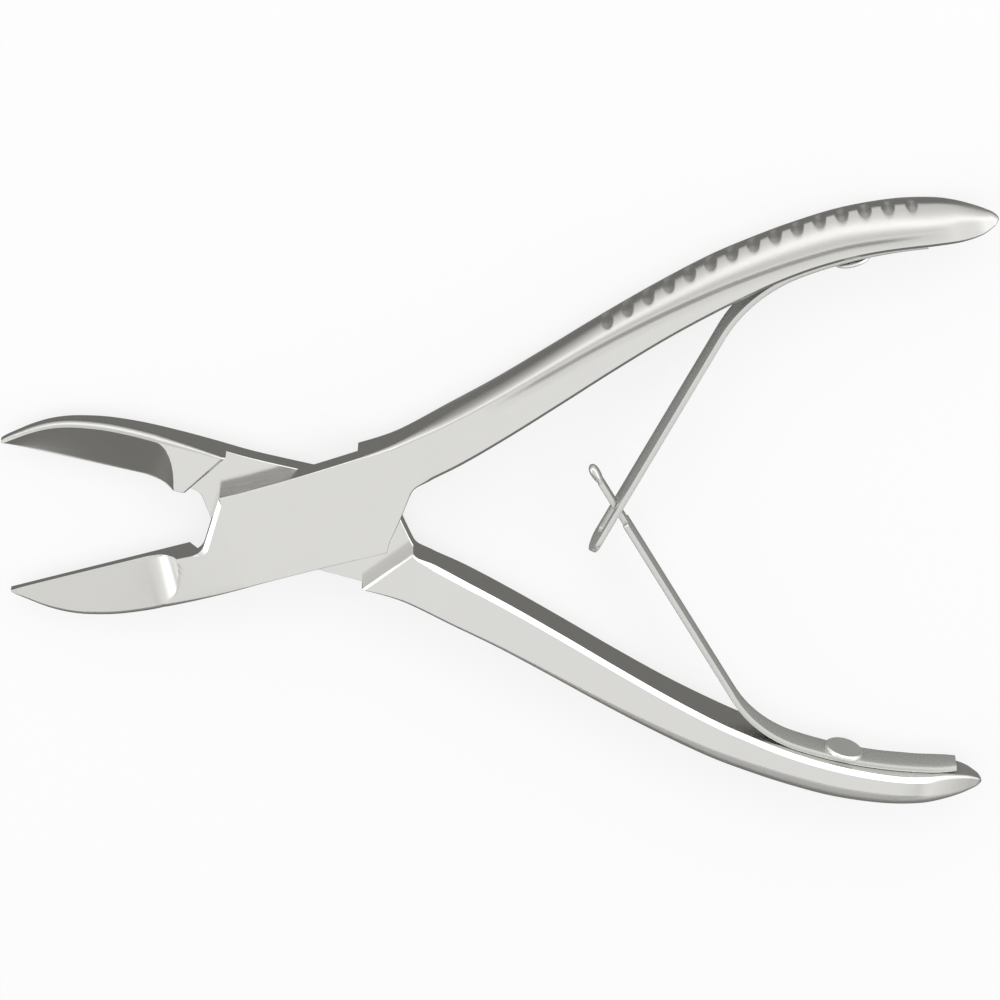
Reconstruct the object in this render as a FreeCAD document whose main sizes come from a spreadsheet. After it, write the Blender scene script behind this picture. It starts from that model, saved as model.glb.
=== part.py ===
import FreeCAD, Part

import math
import os

import Sketcher
from FreeCAD import Placement, Rotation, Vector

# Bone cutting forceps with a lap joint and a double leaf spring.
# The pivot axis is Z, the origin lies on it in the back face of the joint, the handles run towards +X and the
# jaws towards -X, and the front of the tool faces +Z.
# Each half is drawn closed, with its cutting edge on the X axis. Its side is 1 for the front half, whose handle
# is at +Y, and -1 for the back half, which is the same outline mirrored in plan. Its placement opens it.

# Driving sizes in millimetres and degrees.
SIZES = {
    "opening_half_angle": 14.65,
    "closing_gap": 0.05,
    # Lap joint
    "joint_thickness": 5.0,
    "lap_gap": 0.04,
    "heel_reach": 16.6,
    "plate_front_x": 11.95,
    "plate_front_y": 7.55,
    "plate_waist_x": 3.0,
    "plate_waist_y": 7.62,
    "plate_rise_x": 5.0,
    "plate_rise_y": 8.05,
    "plate_throat_x": 12.95,
    "plate_throat_y": 1.88,
    "plate_corner_x": 7.0,
    "plate_corner_y": 6.25,
    "jaw_shoulder_x": 18.65,
    "jaw_shoulder_lean": 5.3,
    "jaw_shoulder_reach": 8.0,
    "handle_shoulder_x": 13.65,
    "handle_shoulder_lean": 7.7,
    "handle_shoulder_reach": 10.0,
    # Jaw
    "jaw_reach": 43.65,
    "jaw_width": 6.97,
    "jaw_root_x": 16.0,
    "jaw_root_width": 6.6,
    "waist_x": 8.65,
    "waist_width": 6.17,
    "bow_from_tip": 9.65,
    "bow_width": 6.02,
    "nib_from_tip": 3.65,
    "nib_width": 3.37,
    "jaw_arch_x": 12.5,
    "jaw_mid_thickness": 3.25,
    "jaw_tip_thickness": 1.1,
    "edge_land": 1.3,
    "ridge_band": 0.45,
    "facet_hollow": 0.3,
    "facet_overrun": 2.0,
    "facet_past_tip": 1.5,
    "facet_nib_from_tip": 4.5,
    "facet_bow_from_tip": 11.0,
    "facet_end_x": 25.0,
    "facet_runout_radius": 5.3,
    # Handle
    "belly_x": 76.5,
    "belly_y": 19.05,
    "belly_radius": 57.0,
    "inner_chamfer": 0.6,
    # Grip grooves
    "groove_count": 15,
    "first_groove_x": 43.8,
    "groove_pitch": 2.99,
    "groove_radius": 1.0,
    "groove_depth": 0.5,
    # Pivot screw
    "pivot_radius": 2.0,
    "pivot_head_radius": 3.5,
    "pivot_head_depth": 1.4,
    "pivot_thread_depth": 1.9,
    "pivot_end_chamfer": 0.3,
    "pivot_bottom_gap": 0.1,
    "pivot_running_gap": 0.03,
    "pivot_thread_gap": 0.015,
    "pivot_slot_width": 0.9,
    "pivot_slot_depth": 0.7,
    # Leaf springs
    "leaf_thickness": 0.8,
    "leaf_seat_gap": 0.03,
    "leaf_root_x": 88.5,
    "leaf_leaves_at_x": 69.7,
    "leaf_slope_angle": 46.9,
    "upper_leaf_width": 4.3,
    "upper_bend_radius": 20.0,
    "upper_leaf_run": 35.3,
    "slot_width": 2.3,
    "slot_from_tip": 2.7,
    "slot_length": 8.3,
    "lower_leaf_width": 3.0,
    "lower_bend_radius": 16.5,
    "lower_leaf_run": 29.9,
    "tongue_width": 1.6,
    "tongue_length": 6.5,
    "tongue_overlap": 0.5,
    "knob_length": 3.0,
    "knob_neck_radius": 0.92,
    "knob_radius": 1.02,
    # Spring screws
    "screw_shank_radius": 1.2,
    "screw_shank_length": 3.4,
    "screw_head_radius": 2.45,
    "screw_rim_radius": 2.65,
    "screw_head_height": 0.5,
    "screw_hole_gap": 0.02,
    "screw_bottom_gap": 0.15,
    "leaf_hole_gap": 0.1,
}

# Handle stations from the joint to the nose: distance from the pivot, inner face (None on the belly's arc), outer
# side, depth, and the sizes of the round crown as a share of half the depth and of the chamfer as a share of its
# full size.
HANDLE_STATIONS = {
    "root": (14.0, 2.08, 9.15, 5.0, 0.03, 0.1),
    "swell": (20.0, 3.63, 10.79, 6.0, 0.25, 1.0),
    "shank": (27.0, 5.83, 12.78, 6.05, 0.37, 1.0),
    "lower_grip": (35.0, 8.62, 15.42, 6.1, 0.56, 1.0),
    "grip": (43.0, 11.52, 18.15, 6.2, 0.71, 1.0),
    "upper_grip": (51.0, 14.25, 20.62, 6.45, 0.83, 1.0),
    "palm": (58.5, 16.42, 22.57, 6.95, 0.9, 1.0),
    "belly_start": (64.0, None, 23.55, 7.0, 0.94, 1.0),
    "belly_rise": (70.0, None, 24.29, 7.1, 0.95, 1.0),
    "belly_top": (76.5, None, 24.6, 7.4, 0.94, 1.0),
    "belly_fall": (83.0, None, 24.0, 7.9, 0.88, 1.0),
    "belly_end": (88.5, None, 22.75, 7.6, 0.78, 1.0),
    "nose_start": (91.0, 17.25, 21.85, 6.3, 0.7, 1.0),
    "nose_mid": (93.5, 17.15, 20.5, 4.1, 0.62, 0.9),
    "nose_near": (95.3, 17.6, 19.4, 2.0, 0.55, 0.6),
    "nose_tip": (96.0, 18.0, 18.8, 0.9, 0.5, 0.3),
}
STATION_WORDS = ("x", "inner", "outer", "depth", "crown", "chamfer")

# Shares of the grinding wheel's radius at which the facet's run-out has a section.
RUNOUT_SHARES = (0.0, 0.35, 0.65, 0.85, 0.96)
# How far a cutting outline reaches past the material, and the step over which the outline's slope is taken.
PAST = 2.0
SLOPE_STEP = 0.5

for station, numbers in HANDLE_STATIONS.items():
    for word, number in zip(STATION_WORDS, numbers):
        if number is not None:
            SIZES[f"{station}_{word}"] = number


class Size:
    """A number with the spreadsheet expression that gives it, so that a sketch follows the sheet."""

    def __init__(self, value, text):
        self.value = value
        self.text = text

    def __add__(self, other):
        other = as_size(other)
        return Size(self.value + other.value, f"({self.text} + {other.text})")

    def __sub__(self, other):
        other = as_size(other)
        return Size(self.value - other.value, f"({self.text} - {other.text})")

    def __mul__(self, other):
        other = as_size(other)
        return Size(self.value * other.value, f"({self.text} * {other.text})")

    def __truediv__(self, other):
        other = as_size(other)
        return Size(self.value / other.value, f"({self.text} / {other.text})")

    def __radd__(self, other):
        return as_size(other) + self

    def __rsub__(self, other):
        return as_size(other) - self

    def __rmul__(self, other):
        return as_size(other) * self

    def __neg__(self):
        return 0 - self


def as_size(number):
    if isinstance(number, Size):
        return number
    return Size(float(number), f"({float(number):.9f})")


def get(name):
    return Size(float(SIZES[name]), f"Sizes.{name}")


def root(size):
    return Size(math.sqrt(size.value), f"sqrt({size.text})")


def sine(size):
    return Size(math.sin(math.radians(size.value)), f"sin({size.text})")


def cosine(size):
    return Size(math.cos(math.radians(size.value)), f"cos({size.text})")


def smaller(first, second):
    return Size(min(first.value, second.value), f"min({first.text}; {second.text})")


def larger(first, second):
    return Size(max(first.value, second.value), f"max({first.text}; {second.text})")


def make_sheet(doc):
    sheet = doc.addObject("Spreadsheet::Sheet", "Sizes")
    for row, (name, number) in enumerate(SIZES.items(), start=1):
        sheet.set(f"A{row}", name)
        sheet.set(f"B{row}", str(number))
        sheet.setAlias(f"B{row}", name)
    doc.recompute()
    return sheet


def make_body(doc, name):
    body = doc.addObject("PartDesign::Body", name)
    body.Label = name
    return body


def make_sketch(body, name, plane, origin=(0, 0, 0), turn=None):
    """A sketch on one of the body's own origin planes, moved by origin, which is given in the plane's axes."""
    sketch = body.newObject("Sketcher::SketchObject", name)
    support = next(f for f in body.Origin.OriginFeatures if f.Role == plane)
    sketch.AttachmentSupport = [(support, "")]
    sketch.MapMode = "FlatFace"
    origin = [as_size(number) for number in origin]
    axis, angle = turn if turn else (Vector(0, 0, 1), as_size(0))
    place = Placement(Vector(*[number.value for number in origin]), Rotation(axis, angle.value))
    sketch.AttachmentOffset = place
    for letter, number in zip("xyz", origin):
        sketch.setExpression(f"AttachmentOffset.Base.{letter}", number.text)
    return sketch


def pin(sketch, geometry, end, point):
    """Ties one end of a sketch element to a place that the spreadsheet gives."""
    for letter, number, axis in zip("XY", point, (-2, -1)):
        if abs(number.value) < 1e-7:
            sketch.addConstraint(Sketcher.Constraint("PointOnObject", geometry, end, axis))
            continue
        kind = f"Distance{letter}"
        index = sketch.addConstraint(Sketcher.Constraint(kind, -1, 1, geometry, end, number.value))
        sketch.setExpression(f"Constraints[{index}]", number.text)


def vector(point):
    return Vector(point[0].value, point[1].value, 0)


def bent_side(start, middle, finish):
    """An arc through three points, always counter-clockwise, and whether it runs from finish to start."""
    circle = Part.Arc(start, middle, finish).toShape().Curve
    centre = circle.Center
    first, last = [math.atan2(p.y - centre.y, p.x - centre.x) for p in (start, finish)]
    clockwise = (middle - start).cross(finish - middle).z < 0
    if clockwise:
        first, last = last, first
    return Part.ArcOfCircle(Part.Circle(centre, Vector(0, 0, 1), circle.Radius), first, last), clockwise


def draw(sketch, path):
    """Draws a closed outline. A corner is a point; ("arc", point) or ("curve", points) bends the side between
    the corner before it and the corner after it."""
    sides = []
    for step in path:
        if isinstance(step[0], str):
            sides[-1][1] = step
        else:
            sides.append([tuple(as_size(number) for number in step), None])
    count = len(sides)
    ends = []
    for index, (start, bend) in enumerate(sides):
        first, last = vector(start), vector(sides[(index + 1) % count][0])
        turned = False
        if bend is None:
            shape = Part.LineSegment(first, last)
        elif bend[0] == "arc":
            shape, turned = bent_side(first, vector([as_size(number) for number in bend[1]]), last)
        else:
            middle = [vector([as_size(number) for number in point]) for point in bend[1]]
            shape = Part.BSplineCurve()
            shape.interpolate([first, *middle, last])
        sketch.addGeometry(shape)
        ends.append((2, 1) if turned else (1, 2))
    for index in range(count):
        after = (index + 1) % count
        sketch.addConstraint(Sketcher.Constraint("Coincident", index, ends[index][1], after, ends[after][0]))
        pin(sketch, index, ends[index][0], sides[index][0])


def add_circle(sketch, centre, radius):
    index = sketch.addGeometry(Part.Circle(vector(centre), Vector(0, 0, 1), radius.value))
    pin(sketch, index, 3, centre)
    radius_index = sketch.addConstraint(Sketcher.Constraint("Radius", index, radius.value))
    sketch.setExpression(f"Constraints[{radius_index}]", radius.text)


def add_feature(body, kind, name, sketch, length=None, symmetric=False, reverse=False):
    feature = body.newObject(f"PartDesign::{kind}", name)
    feature.Profile = sketch
    if length is not None:
        feature.Length = length.value
        feature.setExpression("Length", length.text)
    if symmetric:
        feature.SideType = "Symmetric"
    feature.Reversed = reverse
    return feature


def add_turned(body, kind, name, sketch):
    """A shape turned about the sketch's own vertical axis."""
    feature = body.newObject(f"PartDesign::{kind}", name)
    feature.Profile = sketch
    feature.ReferenceAxis = (sketch, ["V_Axis"])
    feature.Angle = 360
    return feature


def add_loft(body, kind, name, sketches):
    feature = body.newObject(f"PartDesign::{kind}", name)
    feature.Profile = sketches[0]
    feature.Sections = sketches[1:]
    feature.Ruled = False
    return feature


def smooth(points, x):
    """A smooth curve through points in order of x, with the mean of the neighbouring slopes at each."""
    slopes = []
    for index in range(len(points)):
        low = points[max(index - 1, 0)]
        high = points[min(index + 1, len(points) - 1)]
        slopes.append((high[1] - low[1]) / (high[0] - low[0]))
    index = max(i for i in range(len(points) - 1) if points[i][0] <= x)
    (x0, y0), (x1, y1) = points[index], points[index + 1]
    span = x1 - x0
    step = (x - x0) / span
    bend = (2 * step**3 - 3 * step**2) * (y0 - y1) + y0
    return bend + span * ((step**3 - 2 * step**2 + step) * slopes[index] + (step**3 - step**2) * slopes[index + 1])


def belly(x):
    """Inner face of the handle over the belly, an arc that the leaf root lies on."""
    reach = x - get("belly_x")
    return get("belly_y") - get("belly_radius") + root(get("belly_radius") * get("belly_radius") - reach * reach)


def station_inner(station):
    if f"{station}_inner" in SIZES:
        return get(f"{station}_inner")
    return belly(get(f"{station}_x"))


def handle_mid():
    return get("joint_thickness") / 2


def spine_points():
    """The back of the jaw in plan, from the joint to just before the tip, measured down from the edge."""
    return [
        (as_size(0), get("waist_width")),
        (-get("waist_x"), get("waist_width")),
        (-get("jaw_root_x"), get("jaw_root_width")),
        (-get("facet_end_x"), get("jaw_width")),
        (get("bow_from_tip") - get("jaw_reach"), get("bow_width")),
        (get("nib_from_tip") - get("jaw_reach"), get("nib_width")),
    ]


def jaw_top(x):
    """Height of the jaw's front face at a distance from the pivot: an arch from the joint to the tip."""
    arch = get("jaw_arch_x").value
    thick, tip = get("joint_thickness").value, get("jaw_tip_thickness").value
    run = (x - arch) / (get("jaw_reach").value - arch)
    bulge = get("jaw_mid_thickness").value - (thick + tip) / 2
    return thick * (1 - run) + tip * run + 4 * bulge * run * (1 - run)


def draw_blank(body, side):
    """Jaw and joint plate in one outline at full joint thickness."""
    half_gap = get("closing_gap") / 2
    sketch = make_sketch(body, "blank_outline", "XY_Plane")
    spine = [(x, -side * y) for x, y in spine_points()]
    path = [
        (-get("jaw_reach"), -side * half_gap),
        (-get("heel_reach"), -side * half_gap),
        (-get("plate_front_x"), side * get("plate_front_y")),
        ("curve", [
            (-get("plate_waist_x"), side * get("plate_waist_y")),
            (get("plate_rise_x"), side * get("plate_rise_y")),
        ]),
        (get("root_x"), side * get("root_outer")),
        (get("root_x"), side * get("root_inner")),
        (get("plate_throat_x"), side * get("plate_throat_y")),
        (get("plate_corner_x"), -side * get("plate_corner_y")),
        ("curve", spine),
    ]
    draw(sketch, path)
    add_feature(body, "Pad", "blank", sketch, get("joint_thickness"))


def taper_jaw(body, side):
    """Thins the jaw along an arch from the joint to the tip."""
    sketch = make_sketch(body, "taper_profile", "XZ_Plane")
    thick, tip = get("joint_thickness"), get("jaw_tip_thickness")
    start, reach = get("jaw_arch_x"), get("jaw_reach")
    draw(sketch, [
        (-start, thick),
        ("arc", (-(start + reach) / 2, get("jaw_mid_thickness"))),
        (-reach, tip),
        (-reach - PAST, tip),
        (-reach - PAST, thick + PAST),
        (-start, thick + PAST),
    ])
    add_feature(body, "Pocket", "taper", sketch, get("jaw_width") * 4, symmetric=True)


def facet_section(body, side, number, x, ridge_y, ridge_z, rise):
    """One section of the hollow facet: a shallow arc from under the cutting edge up to the ridge."""
    sketch = make_sketch(body, f"facet_section_{number}", "YZ_Plane", origin=(0, 0, -x))
    overrun = get("facet_overrun")
    fall = (ridge_z - get("edge_land")) * overrun / (ridge_y + overrun * 2)
    low_z = get("edge_land") - fall + rise
    high_z = ridge_z + rise
    middle_y = (overrun - ridge_y) / 2
    middle_z = (low_z + high_z) / 2 - get("facet_hollow")
    above = get("joint_thickness") * 2 + rise
    draw(sketch, [
        (side * overrun, low_z),
        ("arc", (side * middle_y, middle_z)),
        (-side * ridge_y, high_z),
        (-side * ridge_y, above),
        (side * overrun, above),
    ])
    return sketch


def ridge_at(x):
    """Distance from the edge to the facet's ridge, and the ridge's height, at a distance from the pivot."""
    spine = [(place.value, width.value) for place, width in spine_points()]
    spine.append((-get("jaw_reach").value, get("closing_gap").value / 2))
    spine.reverse()
    return as_size(smooth(spine, -x)) - get("ridge_band"), as_size(jaw_top(x))


def cut_facet(body, side):
    """The hollow ground facet beside the cutting edge, and the curve where the grinding wheel ran out."""
    reach = get("jaw_reach")
    places = (reach - get("facet_nib_from_tip"), reach - get("facet_bow_from_tip"), get("facet_end_x"))
    tip_y, tip_z = ridge_at(reach.value)
    past_tip = get("facet_past_tip")
    sections = [facet_section(body, side, 0, reach + past_tip, tip_y - past_tip, tip_z, as_size(0))]
    for number, x in enumerate(places, start=1):
        sections.append(facet_section(body, side, number, x, *ridge_at(x.value), as_size(0)))
    add_loft(body, "SubtractiveLoft", "facet", sections)
    runout = []
    radius = get("facet_runout_radius")
    ridge_y, ridge_z = ridge_at(get("facet_end_x").value)
    for number, share in enumerate(RUNOUT_SHARES, start=len(sections)):
        step = radius * share
        rise = radius - root(radius * radius - step * step)
        runout.append(facet_section(body, side, number, get("facet_end_x") - step, ridge_y, ridge_z, rise))
    add_loft(body, "SubtractiveLoft", "facet_runout", runout)


def handle_section(body, side, station):
    """D-shaped section: flat inner face with chamfers, flat front and back, round outer side."""
    inner = station_inner(station)
    outer = get(f"{station}_outer")
    x = get(f"{station}_x")
    half = get(f"{station}_depth") / 2
    crown = half * get(f"{station}_crown")
    chamfer = get("inner_chamfer") * get(f"{station}_chamfer")
    sketch = make_sketch(body, f"{station}_section", "YZ_Plane", origin=(0, handle_mid(), x))
    ridge = outer - crown
    wall = half - crown
    corner = crown * math.sqrt(0.5)
    draw(sketch, [
        (side * inner, half - chamfer),
        (side * (inner + chamfer), half),
        (side * ridge, half),
        ("arc", (side * (ridge + corner), wall + corner)),
        (side * outer, wall),
        (side * outer, -wall),
        ("arc", (side * (ridge + corner), -wall - corner)),
        (side * ridge, -half),
        (side * (inner + chamfer), -half),
        (side * inner, chamfer - half),
    ])
    return sketch


def add_handle(body, side):
    sections = [handle_section(body, side, station) for station in HANDLE_STATIONS]
    add_loft(body, "AdditiveLoft", "handle", sections)


def cut_lap(body, side):
    """Clears the other half's plate between the jaw shoulder and the handle shoulder."""
    thick = get("joint_thickness")
    depth = (thick + get("lap_gap")) / 2 + PAST
    level = as_size(-PAST) if side > 0 else thick + PAST
    sketch = make_sketch(body, "lap_outline", "XY_Plane", origin=(0, 0, level))
    jaw_x, jaw_y = get("jaw_shoulder_x"), get("jaw_shoulder_reach")
    handle_x, handle_y = get("handle_shoulder_x"), get("handle_shoulder_reach")
    top_x = handle_x - get("handle_shoulder_lean")
    draw(sketch, [
        (-jaw_x, side * handle_y),
        (-jaw_x, as_size(0)),
        (get("jaw_shoulder_lean") - jaw_x, -side * jaw_y),
        (handle_x, -side * jaw_y),
        (handle_x, as_size(0)),
        (top_x, side * handle_y),
    ])
    add_feature(body, "Pocket", "lap", sketch, depth, reverse=side > 0)


def cut_pivot_seat(body, side):
    """The front half has a blind threaded hole; the screw's shank and head turn in the back half."""
    thick = get("joint_thickness")
    sketch = make_sketch(body, "pivot_profile", "XZ_Plane")
    if side > 0:
        radius = get("pivot_radius") + get("pivot_thread_gap")
        top = thick / 2 + get("pivot_thread_depth") + get("pivot_bottom_gap")
        draw(sketch, [(0, 0), (radius, 0), (radius, top), (0, top)])
    else:
        gap = get("pivot_running_gap")
        radius = get("pivot_radius") + gap
        head = get("pivot_head_radius") + gap
        cone = get("pivot_head_depth")
        draw(sketch, [(0, -PAST), (head, -PAST), (head, 0), (radius, cone), (radius, thick), (0, thick)])
    add_turned(body, "Groove", "pivot_seat", sketch)


def cut_grooves(body, side):
    """Grip grooves straight across the round outer side of the handle."""
    sketch = make_sketch(body, "groove_outline", "XY_Plane", origin=(0, 0, handle_mid()))
    outline = [(get(f"{s}_x").value, get(f"{s}_outer").value) for s in HANDLE_STATIONS]
    lift = get("groove_radius").value - get("groove_depth").value
    for number in range(int(SIZES["groove_count"])):
        x = get("first_groove_x") + get("groove_pitch") * number
        before, after = [smooth(outline, x.value + step) for step in (-SLOPE_STEP, SLOPE_STEP)]
        slope = (after - before) / (SLOPE_STEP * 2)
        normal = math.hypot(1, slope)
        centre_y = smooth(outline, x.value) + lift / normal
        add_circle(sketch, (x - lift * slope / normal, as_size(side * centre_y)), get("groove_radius"))
    add_feature(body, "Pocket", "grooves", sketch, get("belly_top_depth") * 2, symmetric=True)


def cut_spring_screw_hole(body, side):
    depth = get("screw_shank_length") - get("leaf_thickness") + get("screw_bottom_gap")
    origin = (get("belly_x"), side * get("belly_y"), handle_mid())
    sketch = make_sketch(body, "screw_hole_profile", "XY_Plane", origin=origin)
    radius = get("screw_shank_radius") + get("screw_hole_gap")
    low, high = -side * PAST, side * depth
    draw(sketch, [(0, low), (radius, low), (radius, high), (0, high)])
    add_turned(body, "Groove", "screw_hole", sketch)


def make_half(doc, name, side):
    body = make_body(doc, name)
    draw_blank(body, side)
    taper_jaw(body, side)
    cut_facet(body, side)
    add_handle(body, side)
    cut_lap(body, side)
    cut_pivot_seat(body, side)
    cut_grooves(body, side)
    cut_spring_screw_hole(body, side)
    return body


def make_pivot_screw(doc):
    """Countersunk slotted screw, flush with the back face."""
    body = make_body(doc, "pivot_screw")
    radius = get("pivot_radius")
    top = get("joint_thickness") / 2 + get("pivot_thread_depth")
    sketch = make_sketch(body, "profile", "XZ_Plane")
    draw(sketch, [
        (0, 0),
        (get("pivot_head_radius"), 0),
        (radius, get("pivot_head_depth")),
        (radius, top - get("pivot_end_chamfer")),
        (radius - get("pivot_end_chamfer"), top),
        (0, top),
    ])
    add_turned(body, "Revolution", "shank", sketch)
    slot = make_sketch(body, "slot_outline", "XY_Plane")
    half = get("pivot_slot_width") / 2
    reach = get("pivot_head_radius") + PAST
    draw(slot, [(-reach, -half), (reach, -half), (reach, half), (-reach, half)])
    add_feature(body, "Pocket", "slot", slot, get("pivot_slot_depth"), reverse=True)
    return body


class LeafRoute:
    """Plan of a leaf: root arc along the handle's belly, tangent bend, straight run towards the tip."""

    def __init__(self, side, bend_radius, run):
        self.side = side
        self.bend = bend_radius
        self.run = run
        self.centre = (get("belly_x"), get("belly_y") - get("belly_radius"))
        self.root_radius = get("belly_radius") - get("leaf_seat_gap") - get("leaf_thickness") / 2
        leave = (get("leaf_leaves_at_x") - get("belly_x")) / get("belly_radius")
        self.leave_angle = Size(math.degrees(math.asin(leave.value)), f"asin({leave.text}) / 1 deg")
        end = (get("leaf_root_x") - get("belly_x")) / get("belly_radius")
        self.end_angle = Size(math.degrees(math.asin(end.value)), f"asin({end.text}) / 1 deg")
        step = self.root_radius - self.bend
        self.bend_centre = self.around(self.centre, step, self.leave_angle)

    def around(self, centre, radius, angle):
        return (centre[0] + radius * sine(angle), centre[1] + radius * cosine(angle))

    def straight(self, distance, offset):
        """A point on the straight run: distance from the end of the bend, offset away from the axis side."""
        start = self.around(self.bend_centre, self.bend + offset, -get("leaf_slope_angle"))
        return (start[0] - distance * cosine(get("leaf_slope_angle")), start[1] - distance * sine(get("leaf_slope_angle")))

    def flip(self, point):
        return (point[0], self.side * point[1])

    def strip(self, first, last, from_root):
        """Outline of the strip between two distances along the straight run, or from the root end."""
        half = get("leaf_thickness") / 2
        corners = [self.straight(last, half), self.straight(last, -half)]
        if not from_root:
            corners += [self.straight(first, -half), self.straight(first, half)]
            return [self.flip(corner) for corner in corners]
        bend_middle = (self.leave_angle - get("leaf_slope_angle")) / 2
        root_middle = (self.leave_angle + self.end_angle) / 2
        low_bend = self.around(self.bend_centre, self.bend - half, bend_middle)
        high_bend = self.around(self.bend_centre, self.bend + half, bend_middle)
        low_root = self.around(self.centre, self.root_radius - half, root_middle)
        high_root = self.around(self.centre, self.root_radius + half, root_middle)
        return [
            self.flip(corners[0]),
            self.flip(corners[1]),
            self.flip(self.straight(as_size(0), -half)),
            ("arc", self.flip(low_bend)),
            self.flip(self.around(self.bend_centre, self.bend - half, self.leave_angle)),
            ("arc", self.flip(low_root)),
            self.flip(self.around(self.centre, self.root_radius - half, self.end_angle)),
            self.flip(self.around(self.centre, self.root_radius + half, self.end_angle)),
            ("arc", self.flip(high_root)),
            self.flip(self.around(self.bend_centre, self.bend + half, self.leave_angle)),
            ("arc", self.flip(high_bend)),
            self.flip(self.straight(as_size(0), half)),
        ]


def cut_leaf_hole(body, side):
    origin = (get("belly_x"), side * get("belly_y"), handle_mid())
    sketch = make_sketch(body, "hole_profile", "XY_Plane", origin=origin)
    radius = get("screw_shank_radius") + get("leaf_hole_gap")
    low = -side * get("leaf_thickness") * 2
    high = side * get("leaf_thickness")
    draw(sketch, [(0, low), (radius, low), (radius, high), (0, high)])
    add_turned(body, "Groove", "screw_hole", sketch)


def make_upper_spring(doc):
    """Wide leaf with a rounded free end and a slot for the other leaf's tongue."""
    side = 1
    body = make_body(doc, "upper_spring")
    route = LeafRoute(side, get("upper_bend_radius"), get("upper_leaf_run"))
    sketch = make_sketch(body, "strip_outline", "XY_Plane", origin=(0, 0, handle_mid()))
    draw(sketch, route.strip(as_size(0), route.run, from_root=True))
    add_feature(body, "Pad", "strip", sketch, get("upper_leaf_width"), symmetric=True)
    cut_leaf_hole(body, side)
    tip = route.straight(route.run, as_size(0))
    face = make_sketch(body, "slot_outline", "XZ_Plane", origin=(tip[0], handle_mid(), -side * tip[1]),
                       turn=(Vector(0, 1, 0), side * get("leaf_slope_angle")))
    half = get("slot_width") / 2
    near = get("slot_from_tip") + half
    far = get("slot_from_tip") + get("slot_length") - half
    draw(face, [
        (near, half),
        ("arc", (near - half, as_size(0))),
        (near, -half),
        (far, -half),
        ("arc", (far + half, as_size(0))),
        (far, half),
    ])
    add_feature(body, "Pocket", "slot", face, get("leaf_thickness") * 3, symmetric=True)
    ends = make_sketch(body, "end_outline", "XZ_Plane", origin=(tip[0], handle_mid(), -side * tip[1]),
                       turn=(Vector(0, 1, 0), side * get("leaf_slope_angle")))
    radius = get("upper_leaf_width") / 2
    draw(ends, [
        (radius, radius),
        ("arc", (as_size(0), as_size(0))),
        (radius, -radius),
        (radius, -radius - PAST),
        (as_size(-PAST), -radius - PAST),
        (as_size(-PAST), radius + PAST),
        (radius, radius + PAST),
    ])
    add_feature(body, "Pocket", "round_end", ends, get("leaf_thickness") * 3, symmetric=True)
    return body


def make_lower_spring(doc):
    """Narrow leaf whose tongue passes through the slot and ends in a rounded knob."""
    side = -1
    body = make_body(doc, "lower_spring")
    route = LeafRoute(side, get("lower_bend_radius"), get("lower_leaf_run"))
    sketch = make_sketch(body, "strip_outline", "XY_Plane", origin=(0, 0, handle_mid()))
    draw(sketch, route.strip(as_size(0), route.run, from_root=True))
    add_feature(body, "Pad", "strip", sketch, get("lower_leaf_width"), symmetric=True)
    tongue = make_sketch(body, "tongue_outline", "XY_Plane", origin=(0, 0, handle_mid()))
    overlap = get("tongue_overlap")
    end = route.run + get("tongue_length") + overlap
    draw(tongue, route.strip(route.run - overlap, end, from_root=False))
    add_feature(body, "Pad", "tongue", tongue, get("tongue_width"), symmetric=True)
    neck = route.straight(route.run + get("tongue_length"), as_size(0))
    origin = (neck[0], side * neck[1], handle_mid())
    turn = (Vector(0, 0, 1), 90 + side * get("leaf_slope_angle"))
    knob = make_sketch(body, "knob_profile", "XY_Plane", origin=origin, turn=turn)
    radius = get("knob_radius")
    shoulder = get("knob_length") - radius
    corner = radius * math.sqrt(0.5)
    draw(knob, [
        (0, 0),
        (get("knob_neck_radius"), 0),
        (radius, shoulder),
        ("arc", (corner, shoulder + corner)),
        (0, shoulder + radius),
    ])
    add_turned(body, "Revolution", "knob", knob)
    cut_leaf_hole(body, side)
    return body


def make_spring_screw(doc, name, side):
    """Round flat head with a bevelled rim, on the leaf, and a shank in the handle."""
    body = make_body(doc, name)
    arc_radius = get("belly_radius") - get("leaf_seat_gap") - get("leaf_thickness")
    rise = arc_radius - root(arc_radius * arc_radius - get("screw_rim_radius") * get("screw_rim_radius"))
    seat = get("leaf_thickness") + get("leaf_seat_gap") * 2 + rise
    origin = (get("belly_x"), side * (get("belly_y") - seat), handle_mid())
    sketch = make_sketch(body, "profile", "XY_Plane", origin=origin)
    shank = get("screw_shank_radius")
    bevel = get("screw_rim_radius") - get("screw_head_radius")
    height = get("screw_head_height")
    draw(sketch, [
        (0, -side * height),
        (get("screw_head_radius"), -side * height),
        (get("screw_rim_radius"), -side * (height - bevel)),
        (get("screw_rim_radius"), 0),
        (shank, 0),
        (shank, side * get("screw_shank_length")),
        (0, side * get("screw_shank_length")),
    ])
    add_turned(body, "Revolution", "screw", sketch)
    return body


def open_half(bodies, side):
    """Turns a half and what it carries from closed to the rest pose."""
    angle = side * get("opening_half_angle")
    for body in bodies:
        body.Placement = Placement(Vector(), Rotation(Vector(0, 0, 1), angle.value))
        body.setExpression("Placement", f"placement(vector(0; 0; 0); rotation(vector(0; 0; 1); {angle.text}))")


def check_document(doc):
    for item in doc.Objects:
        if "Invalid" in item.State or "Error" in item.State:
            raise RuntimeError(f"{item.Label} failed: {item.State} {item.getStatusString()}")


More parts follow.
